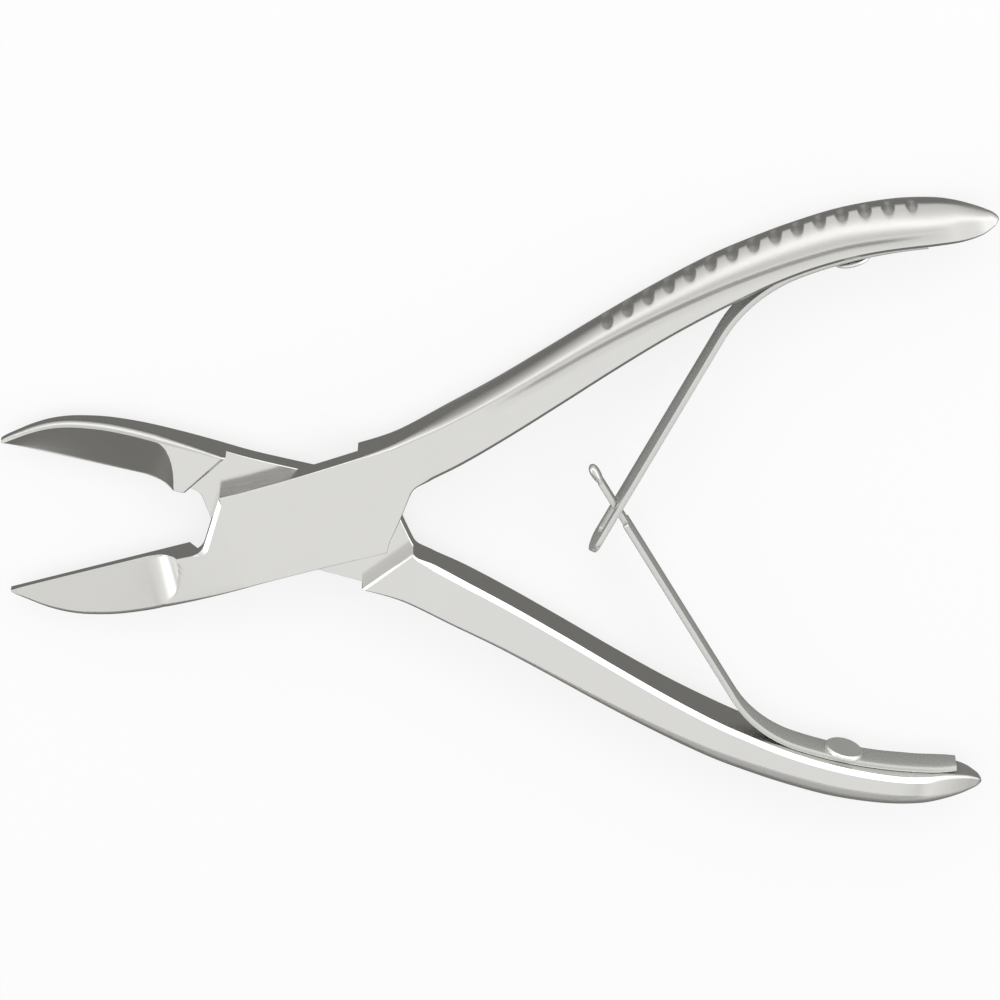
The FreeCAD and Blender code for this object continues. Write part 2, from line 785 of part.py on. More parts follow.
def export(bodies):
    for body in bodies:
        shape = body.Shape
        if shape.isNull() or not shape.isValid() or len(shape.Solids) != 1:
            raise RuntimeError(f"{body.Label} has no valid single solid")
    os.makedirs("parts", exist_ok=True)
    for body in bodies:
        body.Shape.exportStep(f"parts/{body.Label}.step")
        box = body.Shape.BoundBox
        print(f"{body.Label}: {body.Shape.Volume:.2f} mm3, x {box.XMin:.2f} to {box.XMax:.2f}, "
              f"y {box.YMin:.2f} to {box.YMax:.2f}, z {box.ZMin:.2f} to {box.ZMax:.2f}")


def main():
    doc = FreeCAD.newDocument("bone_cutting_forceps")
    make_sheet(doc)
    front = [
        make_half(doc, "front_half", 1),
        make_upper_spring(doc),
        make_spring_screw(doc, "upper_spring_screw", 1),
        make_pivot_screw(doc),
    ]
    back = [
        make_half(doc, "back_half", -1),
        make_lower_spring(doc),
        make_spring_screw(doc, "lower_spring_screw", -1),
    ]
    open_half(front, 1)
    open_half(back, -1)
    doc.recompute()
    check_document(doc)
    export(front + back)


main()
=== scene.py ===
# %% [markdown]
# # Bone cutting forceps
# The tool lies on its back with its front face up. Its frame comes from the construction: the pivot is at
# the origin, the handles run towards +X and the jaws towards -X. The scene is in metres. Shapes are worked
# out in millimetres, as a maker would, and multiplied by MM where they enter the scene.

# %% Load the frame
import math
from collections import namedtuple

import bpy
import numpy as np
from mathutils import Matrix, Vector


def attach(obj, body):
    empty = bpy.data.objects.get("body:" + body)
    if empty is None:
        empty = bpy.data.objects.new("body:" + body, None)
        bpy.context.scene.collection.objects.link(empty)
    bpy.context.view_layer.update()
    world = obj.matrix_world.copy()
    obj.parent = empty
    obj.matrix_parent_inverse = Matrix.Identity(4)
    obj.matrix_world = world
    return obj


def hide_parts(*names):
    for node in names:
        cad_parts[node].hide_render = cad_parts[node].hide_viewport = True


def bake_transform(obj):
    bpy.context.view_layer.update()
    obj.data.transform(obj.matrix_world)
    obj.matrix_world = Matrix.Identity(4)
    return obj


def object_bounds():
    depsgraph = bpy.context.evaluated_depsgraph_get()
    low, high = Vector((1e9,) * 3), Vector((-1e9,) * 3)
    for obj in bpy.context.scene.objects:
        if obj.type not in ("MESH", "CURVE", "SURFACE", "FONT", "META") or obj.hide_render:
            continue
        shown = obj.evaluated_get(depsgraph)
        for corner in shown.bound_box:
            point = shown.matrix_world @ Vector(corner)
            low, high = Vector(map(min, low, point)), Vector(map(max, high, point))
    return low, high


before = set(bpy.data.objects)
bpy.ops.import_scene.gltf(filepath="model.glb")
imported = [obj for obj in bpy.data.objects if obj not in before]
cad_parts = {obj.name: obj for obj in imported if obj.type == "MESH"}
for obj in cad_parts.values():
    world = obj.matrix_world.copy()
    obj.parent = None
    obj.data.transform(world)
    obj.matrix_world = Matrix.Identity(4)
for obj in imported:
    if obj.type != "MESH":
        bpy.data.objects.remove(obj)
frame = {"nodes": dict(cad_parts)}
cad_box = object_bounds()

MM = 0.001
HALF_OPENING = math.radians(14.65)
print("CAD nodes:", ", ".join(sorted(frame["nodes"])))

# %% [markdown]
# ## The camera
# The photograph was taken from in front of the tool and a little above it, from about two thirds of a metre.
# Three directions describe such a camera: right, up, and back towards the photographer. With these as the
# columns of a rotation, the camera needs no aiming.

# %% The photograph's viewing angle
CAMERA_TILT = math.radians(27.5)
CAMERA_ROLL = math.radians(0.968)
CAMERA_DISTANCE = 675.7 * MM
VIEW_WIDTH = 132.8 * MM
VIEW_CENTRE = Vector((23.448, 0.847, 0.0)) * MM
SENSOR_WIDTH = 36.0

right = Vector((math.cos(CAMERA_ROLL), -math.sin(CAMERA_ROLL), 0))
upwards = Vector((math.sin(CAMERA_ROLL), math.cos(CAMERA_ROLL), 0))
front = Vector((0, 0, 1))
up = upwards * math.cos(CAMERA_TILT) - front * math.sin(CAMERA_TILT)
back = upwards * math.sin(CAMERA_TILT) + front * math.cos(CAMERA_TILT)

camera_data = bpy.data.cameras.new("camera")
camera_data.sensor_width = SENSOR_WIDTH
camera_data.lens = SENSOR_WIDTH * CAMERA_DISTANCE / VIEW_WIDTH
camera_data.clip_start = 0.01
camera = bpy.data.objects.new("camera", camera_data)
bpy.context.scene.collection.objects.link(camera)
camera.matrix_world = Matrix.Translation(VIEW_CENTRE + back * CAMERA_DISTANCE) @ Matrix(
    (right, up, back)
).transposed().to_4x4()
bpy.context.scene.camera = camera
print(f"camera {CAMERA_DISTANCE:.3f} m away, lens {camera_data.lens:.1f} mm")

# %% [markdown]
# ## Shader maths as Python
# A procedural material is a formula on the surface. Wrapping a socket in a small class lets that formula be
# written as Python: each operator adds its Math node and returns the new socket.


# %% A socket that can be calculated with
class Sum:
    """A value in a node tree, with Python's operators: a sum or a product adds its Math node."""

    def __init__(self, tree, socket):
        self.tree = tree
        self.socket = socket

    def node(self, kind, settings=None, output=0, **inputs):
        """Adds any node. Its settings are set first, then its sockets by name or, as _0, _1, by number."""
        made = self.tree.nodes.new(kind)
        for name, value in (settings or {}).items():
            setattr(made, name, value)
        for name, value in inputs.items():
            key = int(name[1:]) if name[0] == "_" else name.replace("_", " ")
            socket = made.inputs[key]
            if isinstance(value, Sum):
                self.tree.links.new(value.socket, socket)
            else:
                socket.default_value = value
        return Sum(self.tree, made.outputs[output])

    def maths(self, operation, *values):
        """One Math node, with its values in order."""
        inputs = {f"_{index}": value for index, value in enumerate(values)}
        return self.node("ShaderNodeMath", {"operation": operation}, **inputs)

    def __add__(self, other):
        return self.maths("ADD", self, other)

    def __mul__(self, other):
        return self.maths("MULTIPLY", self, other)

    def noise(self, scale, detail=2.0):
        """Values from 0 to 1 that wander over a point, at a scale in waves per unit."""
        return self.node("ShaderNodeTexNoise", Vector=self, Scale=scale, Detail=detail)

    def stretched(self, along, across, up_down, turn=0.0):
        """A point squeezed along the axes, so that a pattern on it becomes long scratches."""
        return self.node(
            "ShaderNodeMapping", Vector=self, Scale=(along, across, up_down), Rotation=(0.0, 0.0, turn)
        )

    def mix(self, low, high):
        """A colour between low and high, by this value."""
        return self.node("ShaderNodeMix", {"data_type": "RGBA"}, output=2, _0=self, _6=low, _7=high)


def new_material(name):
    """A plain material, its shader node and the object's own coordinates."""
    material = bpy.data.materials.new(name)
    material.use_nodes = True
    tree = material.node_tree
    shader = tree.nodes["Principled BSDF"]
    place = Sum(tree, tree.nodes.new("ShaderNodeTexCoord").outputs["Object"])
    return material, shader, place


def feed(shader, **inputs):
    """Links calculated values to the shader's sockets."""
    for name, value in inputs.items():
        value.tree.links.new(value.socket, shader.inputs[name.replace("_", " ")])


# %% [markdown]
# ## Satin steel
# Surgical steel is brushed with fine abrasive. On the halves the scratches run along the tool, far finer
# than a millimetre, so they show as a soft sheen with faint streaks. They could be an image, but a
# stretched noise fits any piece: it gives the streaks to the roughness and to a very low bump. The handles'
# crowns are brushed by hand on a slack belt and duller. Each half carries a value on its points that makes
# the steel rougher there, the duller finish, and also pulls its colour to a darker grey, which is painted
# shade. The leaves are a paler grey than polished steel, so their shader isn't wholly metallic.

# %% Steel finishes
STEEL = (0.73, 0.725, 0.705, 1.0)
STEEL_SHADE = (0.69, 0.685, 0.665, 1.0)
# Painted shade: the darker grey that a half's colour is pulled to where its point value is high.
PAINTED_SHADE_GREY = (0.56, 0.555, 0.535, 1.0)
# The screws' paler colour is their polished steel, lightened further as a painted highlight for the bright
# reflection on their heads.
SCREW_STEEL_AND_PAINTED_HIGHLIGHT, SCREW_SHADE_AND_PAINTED_HIGHLIGHT = (0.86, 0.86, 0.84, 1.0), (0.8, 0.8, 0.78, 1.0)
LEAF_STEEL, LEAF_SHADE = (0.7, 0.7, 0.68, 1.0), (0.64, 0.64, 0.62, 1.0)
LEAF_METALLIC = 0.72
SATIN_ROUGHNESS = 0.24
STREAKS = (260.0, 5200.0, 5200.0)
CLOUDS = 190.0


def make_steel(name, turn, roughness, grain, tint=STEEL, shade=STEEL_SHADE, metallic=1.0):
    """Brushed steel: streaks along a direction in plan, and cloudy patches a few millimetres wide. Its
    colour lies between shade and tint, and its roughness varies by grain around its middle value."""
    material, shader, place = new_material(name)
    shader.inputs["Metallic"].default_value = metallic
    streaks = place.stretched(*STREAKS, turn).noise(1.0, 3.0)
    clouds = place.noise(CLOUDS, 2.0)
    # A value on each point of a half: it raises the roughness, a duller finish, and paints shade into the
    # colour.
    satin_and_shade = place.node("ShaderNodeAttribute", {"attribute_name": "satin_and_shade"}, output="Fac")
    base = (streaks * 0.6 + clouds * 0.4).mix(shade, tint)
    # Painted shade: the colour goes towards the darker grey as the point's value rises.
    feed(shader, Base_Color=(satin_and_shade * (streaks * 0.5 + 0.75)).mix(base, PAINTED_SHADE_GREY))
    brushed = streaks * grain + clouds * (grain * 0.5) + (roughness - grain * 0.75)
    feed(shader, Roughness=satin_and_shade * SATIN_ROUGHNESS + brushed)
    bump = place.node("ShaderNodeBump", Height=streaks, Strength=0.12, Distance=0.00002)
    feed(shader, Normal=bump)
    return material


upper_steel = make_steel("satin_steel_upper", -HALF_OPENING - 0.2, 0.2, 0.06)
lower_steel = make_steel("satin_steel_lower", HALF_OPENING + 0.2, 0.2, 0.06)
# Screw steel whose paler colour is partly painted highlight.
screw_steel = make_steel("screw_steel", 0.0, 0.42, 0.06, SCREW_STEEL_AND_PAINTED_HIGHLIGHT, SCREW_SHADE_AND_PAINTED_HIGHLIGHT)
spring_steel = make_steel("spring_steel", math.radians(45), 0.27, 0.05, LEAF_STEEL, LEAF_SHADE, LEAF_METALLIC)
print("materials:", ", ".join(material.name for material in bpy.data.materials))

# %% [markdown]
# ### The constructed pieces
# Every piece of the construction gets its finish. The three screws, the pivot's and the two that hold the
# leaves, are turned parts with plain heads, and their constructed shape is as good as a new one, so they
# stay. The halves and the leaves get new surfaces below, which take the old ones' place.

# %% Finish of the constructed pieces


def dress(name, material):
    """Gives a constructed piece its finish."""
    node = frame["nodes"][name]
    node.data.materials.clear()
    node.data.materials.append(material)


dress("front_half", upper_steel)
dress("back_half", lower_steel)
for screw in ("pivot_screw", "upper_spring_screw", "lower_spring_screw"):
    dress(screw, screw_steel)
for leaf in ("upper_spring", "lower_spring"):
    dress(leaf, spring_steel)
print("dressed:", ", ".join(frame["nodes"]))

# %% [markdown]
# ## The two halves
# Each half is one forging: a hollow ground jaw, a flat joint plate and a bowed handle with a D-shaped
# section. It could be pushed together from boxes and bevels, but every part of it runs smoothly into the
# next one. So it is one skin: a closed profile is carried from the jaw's tip to the handle's nose. Both
# halves are drawn closed, with the cutting edge on the X axis, and turned open at the end.
#
# The profile follows curves, and two helpers draw a curve through a few knots, smoothly or in straight
# lines.

# %% Two kinds of curve


def through(knots, x):
    """Cubic curve through knots (x, y). A knot's slope is that of the line between its two neighbours, and q
    runs from 0 to 1 between two knots: the height rises as 3q² - 2q³, plus the slopes' own cubics."""
    kx, ky = np.array(knots, float).T
    slope = np.empty_like(ky)
    slope[1:-1] = (ky[2:] - ky[:-2]) / (kx[2:] - kx[:-2])
    slope[0] = (ky[1] - ky[0]) / (kx[1] - kx[0])
    slope[-1] = (ky[-1] - ky[-2]) / (kx[-1] - kx[-2])
    x = np.clip(x, kx[0], kx[-1])
    i = np.clip(np.searchsorted(kx, x, side="right") - 1, 0, len(kx) - 2)
    span = kx[i + 1] - kx[i]
    q = (x - kx[i]) / span
    rise = (3 * q**2 - 2 * q**3) * (ky[i + 1] - ky[i])
    return ky[i] + rise + span * ((q**3 - 2 * q**2 + q) * slope[i] + (q**3 - q**2) * slope[i + 1])


def between(knots, x):
    """Straight lines through knots (x, y)."""
    kx, ky = np.array(knots, float).T
    return np.interp(x, kx, ky)


print(f"halfway up a step: smooth {float(through([(0, 0), (1, 0), (2, 1), (3, 1)], 1.5)):.2f}")

# %% [markdown]
# ### Outline and depth
# These are the curves of a half, in millimetres. The lower boundary is the jaw's back, the throat and the
# handle's inner face, and the upper boundary is the cutting edge, the plate's slanting left side and top,
# and the handle's outer side. The depth is the handle's, from its front to its back. The crown is the broad
# rounding of the handle's outer side: how far it reaches across the front face, its share of half the depth,
# and how lean it is.

# %% Outline and depth of a half
JAW_TIP_X = -43.65
JAW_SHOULDER_X = -18.65
JAW_ROOT_X = -12.5
PLATE_TOP_X = -12.0
PLATE_LEFT_END_X = -11.95
PLATE_CORNER_X = 7.0
BELLY_X, BELLY_Y, BELLY_RADIUS = 76.5, 19.05, 57.0
BELLY_START_X, BELLY_END_X = 64, 86
NOSE_X, NOSE_TIP_X = 95.2, 96.0
PLATE_THICKNESS = 5.0
MIDDLE_Z = PLATE_THICKNESS / 2
JAW_TIP_THICKNESS = 1.1
JAW_ARCH = 0.8

JAW_BACK = [(-43.65, -0.3), (-43.2, -0.8), (-42, -1.81), (-40, -3.37), (-38, -4.59), (-36, -5.45),
            (-34, -6.02), (-31, -6.6), (-28, -6.88), (-25, -6.97), (-20.5, -6.86), (-16, -6.6), (-12, -6.3),
            (-8, -6.18), (0, -6.15), (7, -6.25)]
THROAT = [(7, -6.25), (7.85, -4.8), (9.9, -2.25), (11.9, 0.5), (12.55, 1.35), (13.0, 1.75), (13.5, 1.98),
          (14.2, 2.12), (15.2, 2.3)]
INNER_FACE = [(13, 1.7), (15.2, 2.3), (20, 3.63), (27, 5.83), (35, 8.62), (43, 11.52), (51, 14.25),
              (58.5, 16.42), (64, 17.66)]
INNER_NOSE = [(86, 18.25), (88.5, 17.78), (91, 17.25), (93.5, 17.15), (95.2, 17.55), (96, 17.9)]
PLATE_LEFT = [(-30, -0.025), (-17.9, -0.025), (-17.3, 0.08), (-16.8, 0.3), (-16.4, 0.62), (-16.1, 1.0),
              (PLATE_LEFT_END_X, 7.55)]
PLATE_TOP = [(-12, 7.55), (-9, 7.52), (-5, 7.6), (-1, 7.76), (3, 7.98), (7.2, 8.24), (10, 8.45), (12.5, 8.8),
             (15, 9.4), (20, 10.79), (27, 12.78), (35, 15.42), (43, 18.15), (51, 20.62), (58.5, 22.57),
             (64, 23.55), (70, 24.29), (76.5, 24.6), (83, 24.0), (88.5, 22.75), (91, 21.85), (93.5, 20.5),
             (95.2, 19.4), (96, 18.75)]
DEPTH = [(7, 5.0), (14, 5.0), (20, 5.95), (27, 6.05), (35, 6.1), (43, 6.2), (51, 6.5), (58.5, 6.95),
         (64, 7.0), (70, 7.1), (76.5, 7.4), (83, 7.9), (86, 7.85), (88.5, 7.2), (91, 5.5), (93.5, 3.6),
         (95.2, 1.8), (96, 1.0)]
CROWN = [(7, 0.2), (14, 0.6), (19, 0.8), (27, 1.05), (36, 1.35), (43, 1.7), (51, 2.15), (58, 2.55), (65, 2.8),
         (70, 2.95), (76, 3.05), (83, 3.0), (88.5, 2.6), (91, 2.1), (93.5, 1.3), (95.2, 0.8), (96, 0.5)]
CROWN_DEPTH = [(7, 0.15), (14, 0.45), (18, 0.75), (22, 0.99), (96, 0.99)]
CROWN_POWER = [(36, 2.0), (43, 1.85), (55, 1.68), (80, 1.6), (90, 1.65), (96, 1.9)]


def lower_boundary(x):
    """Y of the jaw's back, then the throat, then the inner face, which at the belly is an arc of a circle."""
    reach = np.clip(x - BELLY_X, -BELLY_RADIUS, BELLY_RADIUS)
    belly = BELLY_Y - BELLY_RADIUS + np.sqrt(BELLY_RADIUS**2 - reach**2)
    nose = np.where(x < BELLY_END_X, belly, through(INNER_NOSE, x))
    handle = np.where(x < BELLY_START_X, through(INNER_FACE, x), nose)
    throat = np.where(x < THROAT[-1][0], between(THROAT, x), handle)
    return np.where(x < PLATE_CORNER_X, through(JAW_BACK, x), throat)


def upper_boundary(x):
    """Y of the cutting edge, then the plate's slanting left side, then its top and the handle's outer
    side."""
    return np.where(x < PLATE_TOP_X, between(PLATE_LEFT, x), through(PLATE_TOP, x))


def jaw_height(x):
    """Z of the jaw's front face: a line from the plate's thickness down to the tip's, plus a parabola as an
    arch."""
    run = np.clip((JAW_ROOT_X - x) / (JAW_ROOT_X - JAW_TIP_X), 0, 1)
    return PLATE_THICKNESS * (1 - run) + JAW_TIP_THICKNESS * run + JAW_ARCH * run * (1 - run)


def front_height(x):
    """Z of the front face: the jaw's and the plate's, then half the handle's depth above the middle."""
    return np.where(x < PLATE_CORNER_X, jaw_height(x), MIDDLE_Z + through(DEPTH, x) / 2)


def back_height(x):
    """Z of the back face: flat at the jaw and the plate, then half the handle's depth below the middle."""
    return np.where(x < PLATE_CORNER_X, 0.0, MIDDLE_Z - through(DEPTH, x) / 2)


print(f"handle {float(through(DEPTH, 50.0)):.2f} mm deep in the grip")
print(f"jaw {float(jaw_height(-30.0)):.2f} mm thick at its middle")

# %% [markdown]
# ### The hollow ground facet
# A jaw is ground with the rim of a wheel: in section the facet is a shallow hollow from just above the
# cutting edge to a ridge along the jaw's back, and where the wheel ran out it climbs in a quarter circle. It
# could be cut with a boolean, but the skin needs only heights: the front face is whichever of the flat and
# the facet is lower. To keep the line between them crisp, one row of the skin's points is put exactly on it.

# %% Facet of a jaw
FACET_END_X = -25.0
RUNOUT_RADIUS = 5.3
EDGE_LAND = 0.95
RIDGE_BAND = 0.7
FACET_HOLLOW = 0.16
OVERRUN = 2
STEEP = 100


def facet_height(x, y):
    """Z of the ground facet: a straight chord from a little past the edge to the ridge, less a parabola,
    plus the quarter circle of the run-out, plus a steep rise beyond it."""
    on_jaw = np.minimum(x, FACET_END_X)
    ridge_y = -lower_boundary(on_jaw) - RIDGE_BAND
    ridge_z = jaw_height(on_jaw)
    low_z = EDGE_LAND - (ridge_z - EDGE_LAND) * OVERRUN / (ridge_y + 2 * OVERRUN)
    m = (OVERRUN - y) / (OVERRUN + ridge_y)
    climb = np.clip(x - FACET_END_X, 0, RUNOUT_RADIUS)
    rise = RUNOUT_RADIUS - np.sqrt(RUNOUT_RADIUS**2 - climb**2)
    past = np.maximum(x - FACET_END_X - RUNOUT_RADIUS, 0) * STEEP
    return low_z + (ridge_z - low_z) * m - 4 * FACET_HOLLOW * m * (1 - m) + rise + past


print(f"facet height at the edge, 35 mm out: {float(facet_height(-35.0, 0.0)):.2f} mm")

# %% [markdown]
# ### Cross lines
# A profile is spanned between the two boundaries by a straight cross line. Lines square to the tool would
# cut the joint's slanted shoulders into steps. So over the joint the cross lines lean, and one of them lies
# along each shoulder, where the half steps from full thickness to half. Another one ends on the plate's lower
# corner. They stand closer together where the shape is fine.

# %% Cross lines
HANDLE_SHOULDER_X = 7.2
CORNER_LEAN = 5.5
TO_PLATE_CORNER_X = PLATE_CORNER_X - CORNER_LEAN
LEAN = [(-43.65, 0), (-26, 0), (-18.65, 4.1), (-17.3, 3.9), (-12, 3.0), (TO_PLATE_CORNER_X, CORNER_LEAN),
        (HANDLE_SHOULDER_X, 5.4), (14, 2.2), (24, 0)]
STEP = 0.02
SHOULDER_EDGE = 0.3
RUNS = [
    (JAW_TIP_X + 0.25, FACET_END_X, 0.25),
    (FACET_END_X, JAW_SHOULDER_X - 0.1, 0.09),
    (-18.5, -15.9, 0.1),
    (-15.8, -12.1, 0.4),
    (-11.6, HANDLE_SHOULDER_X - 0.3, 0.35),
    (7.6, 14, 0.2),
    (14, 42.4, 0.4),
    (42.4, 87.2, 0.11),
    (87.3, NOSE_X, 0.2),
]
SINGLE_LINES = [
    JAW_TIP_X, JAW_TIP_X + 0.08,
    JAW_SHOULDER_X - SHOULDER_EDGE, JAW_SHOULDER_X, JAW_SHOULDER_X + STEP,
    PLATE_LEFT_END_X - STEP, PLATE_LEFT_END_X + STEP, TO_PLATE_CORNER_X,
    HANDLE_SHOULDER_X - STEP, HANDLE_SHOULDER_X, HANDLE_SHOULDER_X + SHOULDER_EDGE,
]
Lines = namedtuple("Lines", ["low_x", "low_y", "high_x", "high_y", "length"])


def columns():
    """Places of the cross lines along the upper boundary: runs of even steps, single lines, and a sine's
    steps at the nose, which grow finer towards its tip."""
    nose = NOSE_X + (NOSE_TIP_X - NOSE_X) * np.sin(np.linspace(0, math.pi / 2, 12)[:-1])
    runs = [np.arange(*run) for run in RUNS]
    return np.unique(np.concatenate([*runs, SINGLE_LINES, nose]))


def cross_lines(s):
    """The cross lines at places s: their ends on the two boundaries, and their lengths."""
    low_x = s + between(LEAN, s)
    low_y, high_y = lower_boundary(low_x), upper_boundary(s)
    return Lines(low_x, low_y, s, high_y, np.hypot(s - low_x, high_y - low_y))


def along(lines, t, z):
    """Points on the cross lines, at distances t from their lower ends, and heights z."""
    share = t / lines.length[:, None]
    x = lines.low_x[:, None] + (lines.high_x - lines.low_x)[:, None] * share
    y = lines.low_y[:, None] + (lines.high_y - lines.low_y)[:, None] * share
    return np.stack([x, y, z], axis=-1)


print(f"{len(columns())} cross lines from the jaw's tip to the handle's nose")

# %% [markdown]
# ### Corners
# Going round, a profile has a wall, a corner, the front face, a corner, the other wall, a corner, the back
# face and a last corner. Edges could be bevelled with a modifier, but these corners change along the half,
# from a hair's breadth at the cutting edge to the broad crown of the handle. So each is a run of points
# whose width, depth and roundness come from tables.

# %% Corners of a profile
CORNER_POINTS = 8
CROWN_POINTS = 16
BACK_EDGE = [(-43.65, 0.1), (-42, 0.4), (-38, 0.62), (-24, 0.7), (-18, 0.4), (-13, 0.2), (-8, 0.1), (12, 0.1),
             (13.2, 0.2), (16, 0.6), (88, 0.6), (92, 0.45), (96, 0.15)]
BACK_EDGE_ROUND = [(-14, 1.0), (-10, 0.5), (12, 0.0), (88, 0.0), (92, 0.6), (96, 1.0)]
TOP_EDGE = [(-43.65, 0.02), (-25, 0.03), (-20, 0.06), (-18, 0.1), (-17, 0.55), (-16, 0.75), (-12.2, 0.75),
            (-11.95, 0.06), (-4, 0.08), (2, 0.15), (7, 0.2)]
TOP_EDGE_ROUND = [(-18, 0.0), (-12, 0.0), (-11.9, 1.0), (96, 1.0)]
REAR_EDGE = 0.12
PLAIN_EDGE = 0.04
LAP_LOW_EDGE, LAP_TOP_EDGE = 0.1, 0.05
BEVEL_SLOPE = 0.62
LAP_CROWN, LAP_POWER = 0.9, 2.3


def corner(start, finish, roundness, power, count):
    """Points of a corner from (along, height) at its start to its finish: a straight bevel, bulged towards a
    quarter ellipse by roundness, which is 0 to 1. The quarter ellipse turns from level to upright, and a
    power under 2 makes it leaner, with a tighter turn at the upright end."""
    k = np.linspace(0, 1, count)[None, :]
    sine, cosine = (wave(k * math.pi / 2) ** (2 / power[:, None]) for wave in (np.sin, np.cos))
    bevel_t = start[0][:, None] * (1 - k) + finish[0][:, None] * k
    bevel_z = start[1][:, None] * (1 - k) + finish[1][:, None] * k
    arc_t = start[0][:, None] + (finish[0] - start[0])[:, None] * sine
    arc_z = finish[1][:, None] + (start[1] - finish[1])[:, None] * cosine
    share = roundness[:, None]
    return bevel_t * (1 - share) + arc_t * share, bevel_z * (1 - share) + arc_z * share


def crown_size(x, outside):
    """Width, depth and power of an upper corner: a small edge on the plate, and half the section on the
    handle. The side of a half that is outside at the joint has the broad crown, and its lap side is
    squarer."""
    before_handle = x < PLATE_CORNER_X
    edge = between(TOP_EDGE, x)
    edge_depth = np.where(x < PLATE_LEFT_END_X, edge * BEVEL_SLOPE, edge)
    crown = through(CROWN, x) * (1.0 if outside else LAP_CROWN)
    crown_depth = through(DEPTH, x) / 2 * between(CROWN_DEPTH, x)
    power = between(CROWN_POWER, x) if outside else np.full_like(x, LAP_POWER)
    return np.where(before_handle, edge, crown), np.where(before_handle, edge_depth, crown_depth), power


def tiny_where(mask, edge, sizes):
    """A corner's width, depth and power, with the width and depth of a tiny edge where the mask says so."""
    wide, deep, power = sizes
    return np.where(mask, edge, wide), np.where(mask, edge, deep), power


def top_sizes(lines, lapped, side):
    """Widths, depths and powers of the front and the back upper corner. They are tiny at the lap and on the
    jaw's and the front plate's back."""
    s = lines.high_x
    plain = (s < HANDLE_SHOULDER_X) & ~lapped
    front = tiny_where(lapped, LAP_TOP_EDGE, crown_size(s, side > 0))
    return front, tiny_where(plain, PLAIN_EDGE, crown_size(s, side < 0))


def low_sizes(lines, lapped):
    """Widths of the front and the back lower corner."""
    wide = between(BACK_EDGE, lines.low_x)
    back = np.where(lines.high_x < HANDLE_SHOULDER_X, np.minimum(REAR_EDGE, wide), wide)
    return np.where(lapped, LAP_LOW_EDGE, wide), back


print(f"crown {float(crown_size(np.array(60.0), True)[0]):.2f} mm wide in the grip")

# %% [markdown]
# ### The front face
# The front face has 23 points on each cross line. On the jaw one of them is put where the flat ends and the
# facet begins, which keeps that line crisp without a finer grid. The front half also has a shallow crease
# between its flat and its crown, left by the belt.

# %% Rows of the front face
GUARD = 0.04
SEARCH_POINTS = 160
FLAT_POINTS, HOLLOW_POINTS = 6, 18
FREE_ROW_X, FREE_ROW_FADE = -20.5, 3
FREE_ROW_SHARE = 0.6
CREASE_WIDTH = 1.0
CREASE_DEPTH = [(22, 0.0), (34, 0.12), (50, 0.16), (80, 0.15), (91, 0.0)]
PLATE_GAP = 0.02


def facet_start(lines, first, last):
    """Distance along each cross line to the facet's boundary: the first of many places where the facet is
    lower than the flat. Beyond the run-out it glides to a fixed share of the line."""
    t = first[:, None] + (last - first)[:, None] * np.linspace(0, 1, SEARCH_POINTS)[None, :]
    x, y, _ = np.moveaxis(along(lines, t, t), -1, 0)
    ground = facet_height(x, y) < front_height(x) - 1e-6
    split = np.take_along_axis(t, np.argmax(ground, axis=1)[:, None], 1)[:, 0]
    free = first + FREE_ROW_SHARE * (last - first)
    past = np.clip((lines.high_x - FREE_ROW_X) / FREE_ROW_FADE, 0, 1)
    split = np.where(ground.any(axis=1), split, last) * (1 - past) + free * past
    return np.clip(split, first + 2 * GUARD, last - 2 * GUARD)


def face_rows(lines, low_wide, top_wide):
    """Distances of the front face's points along the cross lines, evenly spaced on both sides of the
    boundary."""
    first, last = low_wide, lines.length - top_wide
    split = facet_start(lines, first, last)
    flat = np.linspace(0, 1, FLAT_POINTS)
    hollow = np.linspace(0, 1, HOLLOW_POINTS)[1:]
    near = (first + GUARD)[:, None] + (split - first - GUARD)[:, None] * flat
    far = split[:, None] + (last - GUARD - split)[:, None] * hollow
    return np.hstack([near, far])


def crown_distance(lines, t, top_wide):
    """Distance from points on the front face to where the crown begins."""
    return lines.length[:, None] - top_wide[:, None] - t


def front_face(lines, low_wide, top_wide, side, lapped):
    """Distances and points of the front face: the lower of flat and facet, less the crease on the front half
    or the shoulders' edges on the back half, and the lap's level where it is cut to half thickness."""
    s = lines.high_x
    t = face_rows(lines, low_wide, top_wide)
    face = along(lines, t, np.zeros_like(t))
    z = np.minimum(front_height(face[..., 0]), facet_height(face[..., 0], face[..., 1]))
    if side > 0:
        crease = np.clip(crown_distance(lines, t, top_wide) / CREASE_WIDTH, 0, 1)
        z = z - between(CREASE_DEPTH, s)[:, None] * crease**2 * (3 - 2 * crease)
    else:
        off = np.where(s < 0, JAW_SHOULDER_X - s, s - HANDLE_SHOULDER_X)
        z = z - np.clip(SHOULDER_EDGE - off, 0, SHOULDER_EDGE)[:, None]
    face[..., 2] = np.where(lapped[:, None], MIDDLE_Z - PLATE_GAP, z)
    return t, face


print(f"front face: {FLAT_POINTS + HOLLOW_POINTS - 1} points on each cross line")

# %% [markdown]
# ### Grip grooves
# Fifteen round grooves are milled across the outer side of each handle. Fifteen cylinders could be cut away
# with booleans, which leave untidy faces. The skin's points are close enough here to be pressed under the
# cylinders' surface, and a soft minimum leaves the narrow round rim that polishing gives.

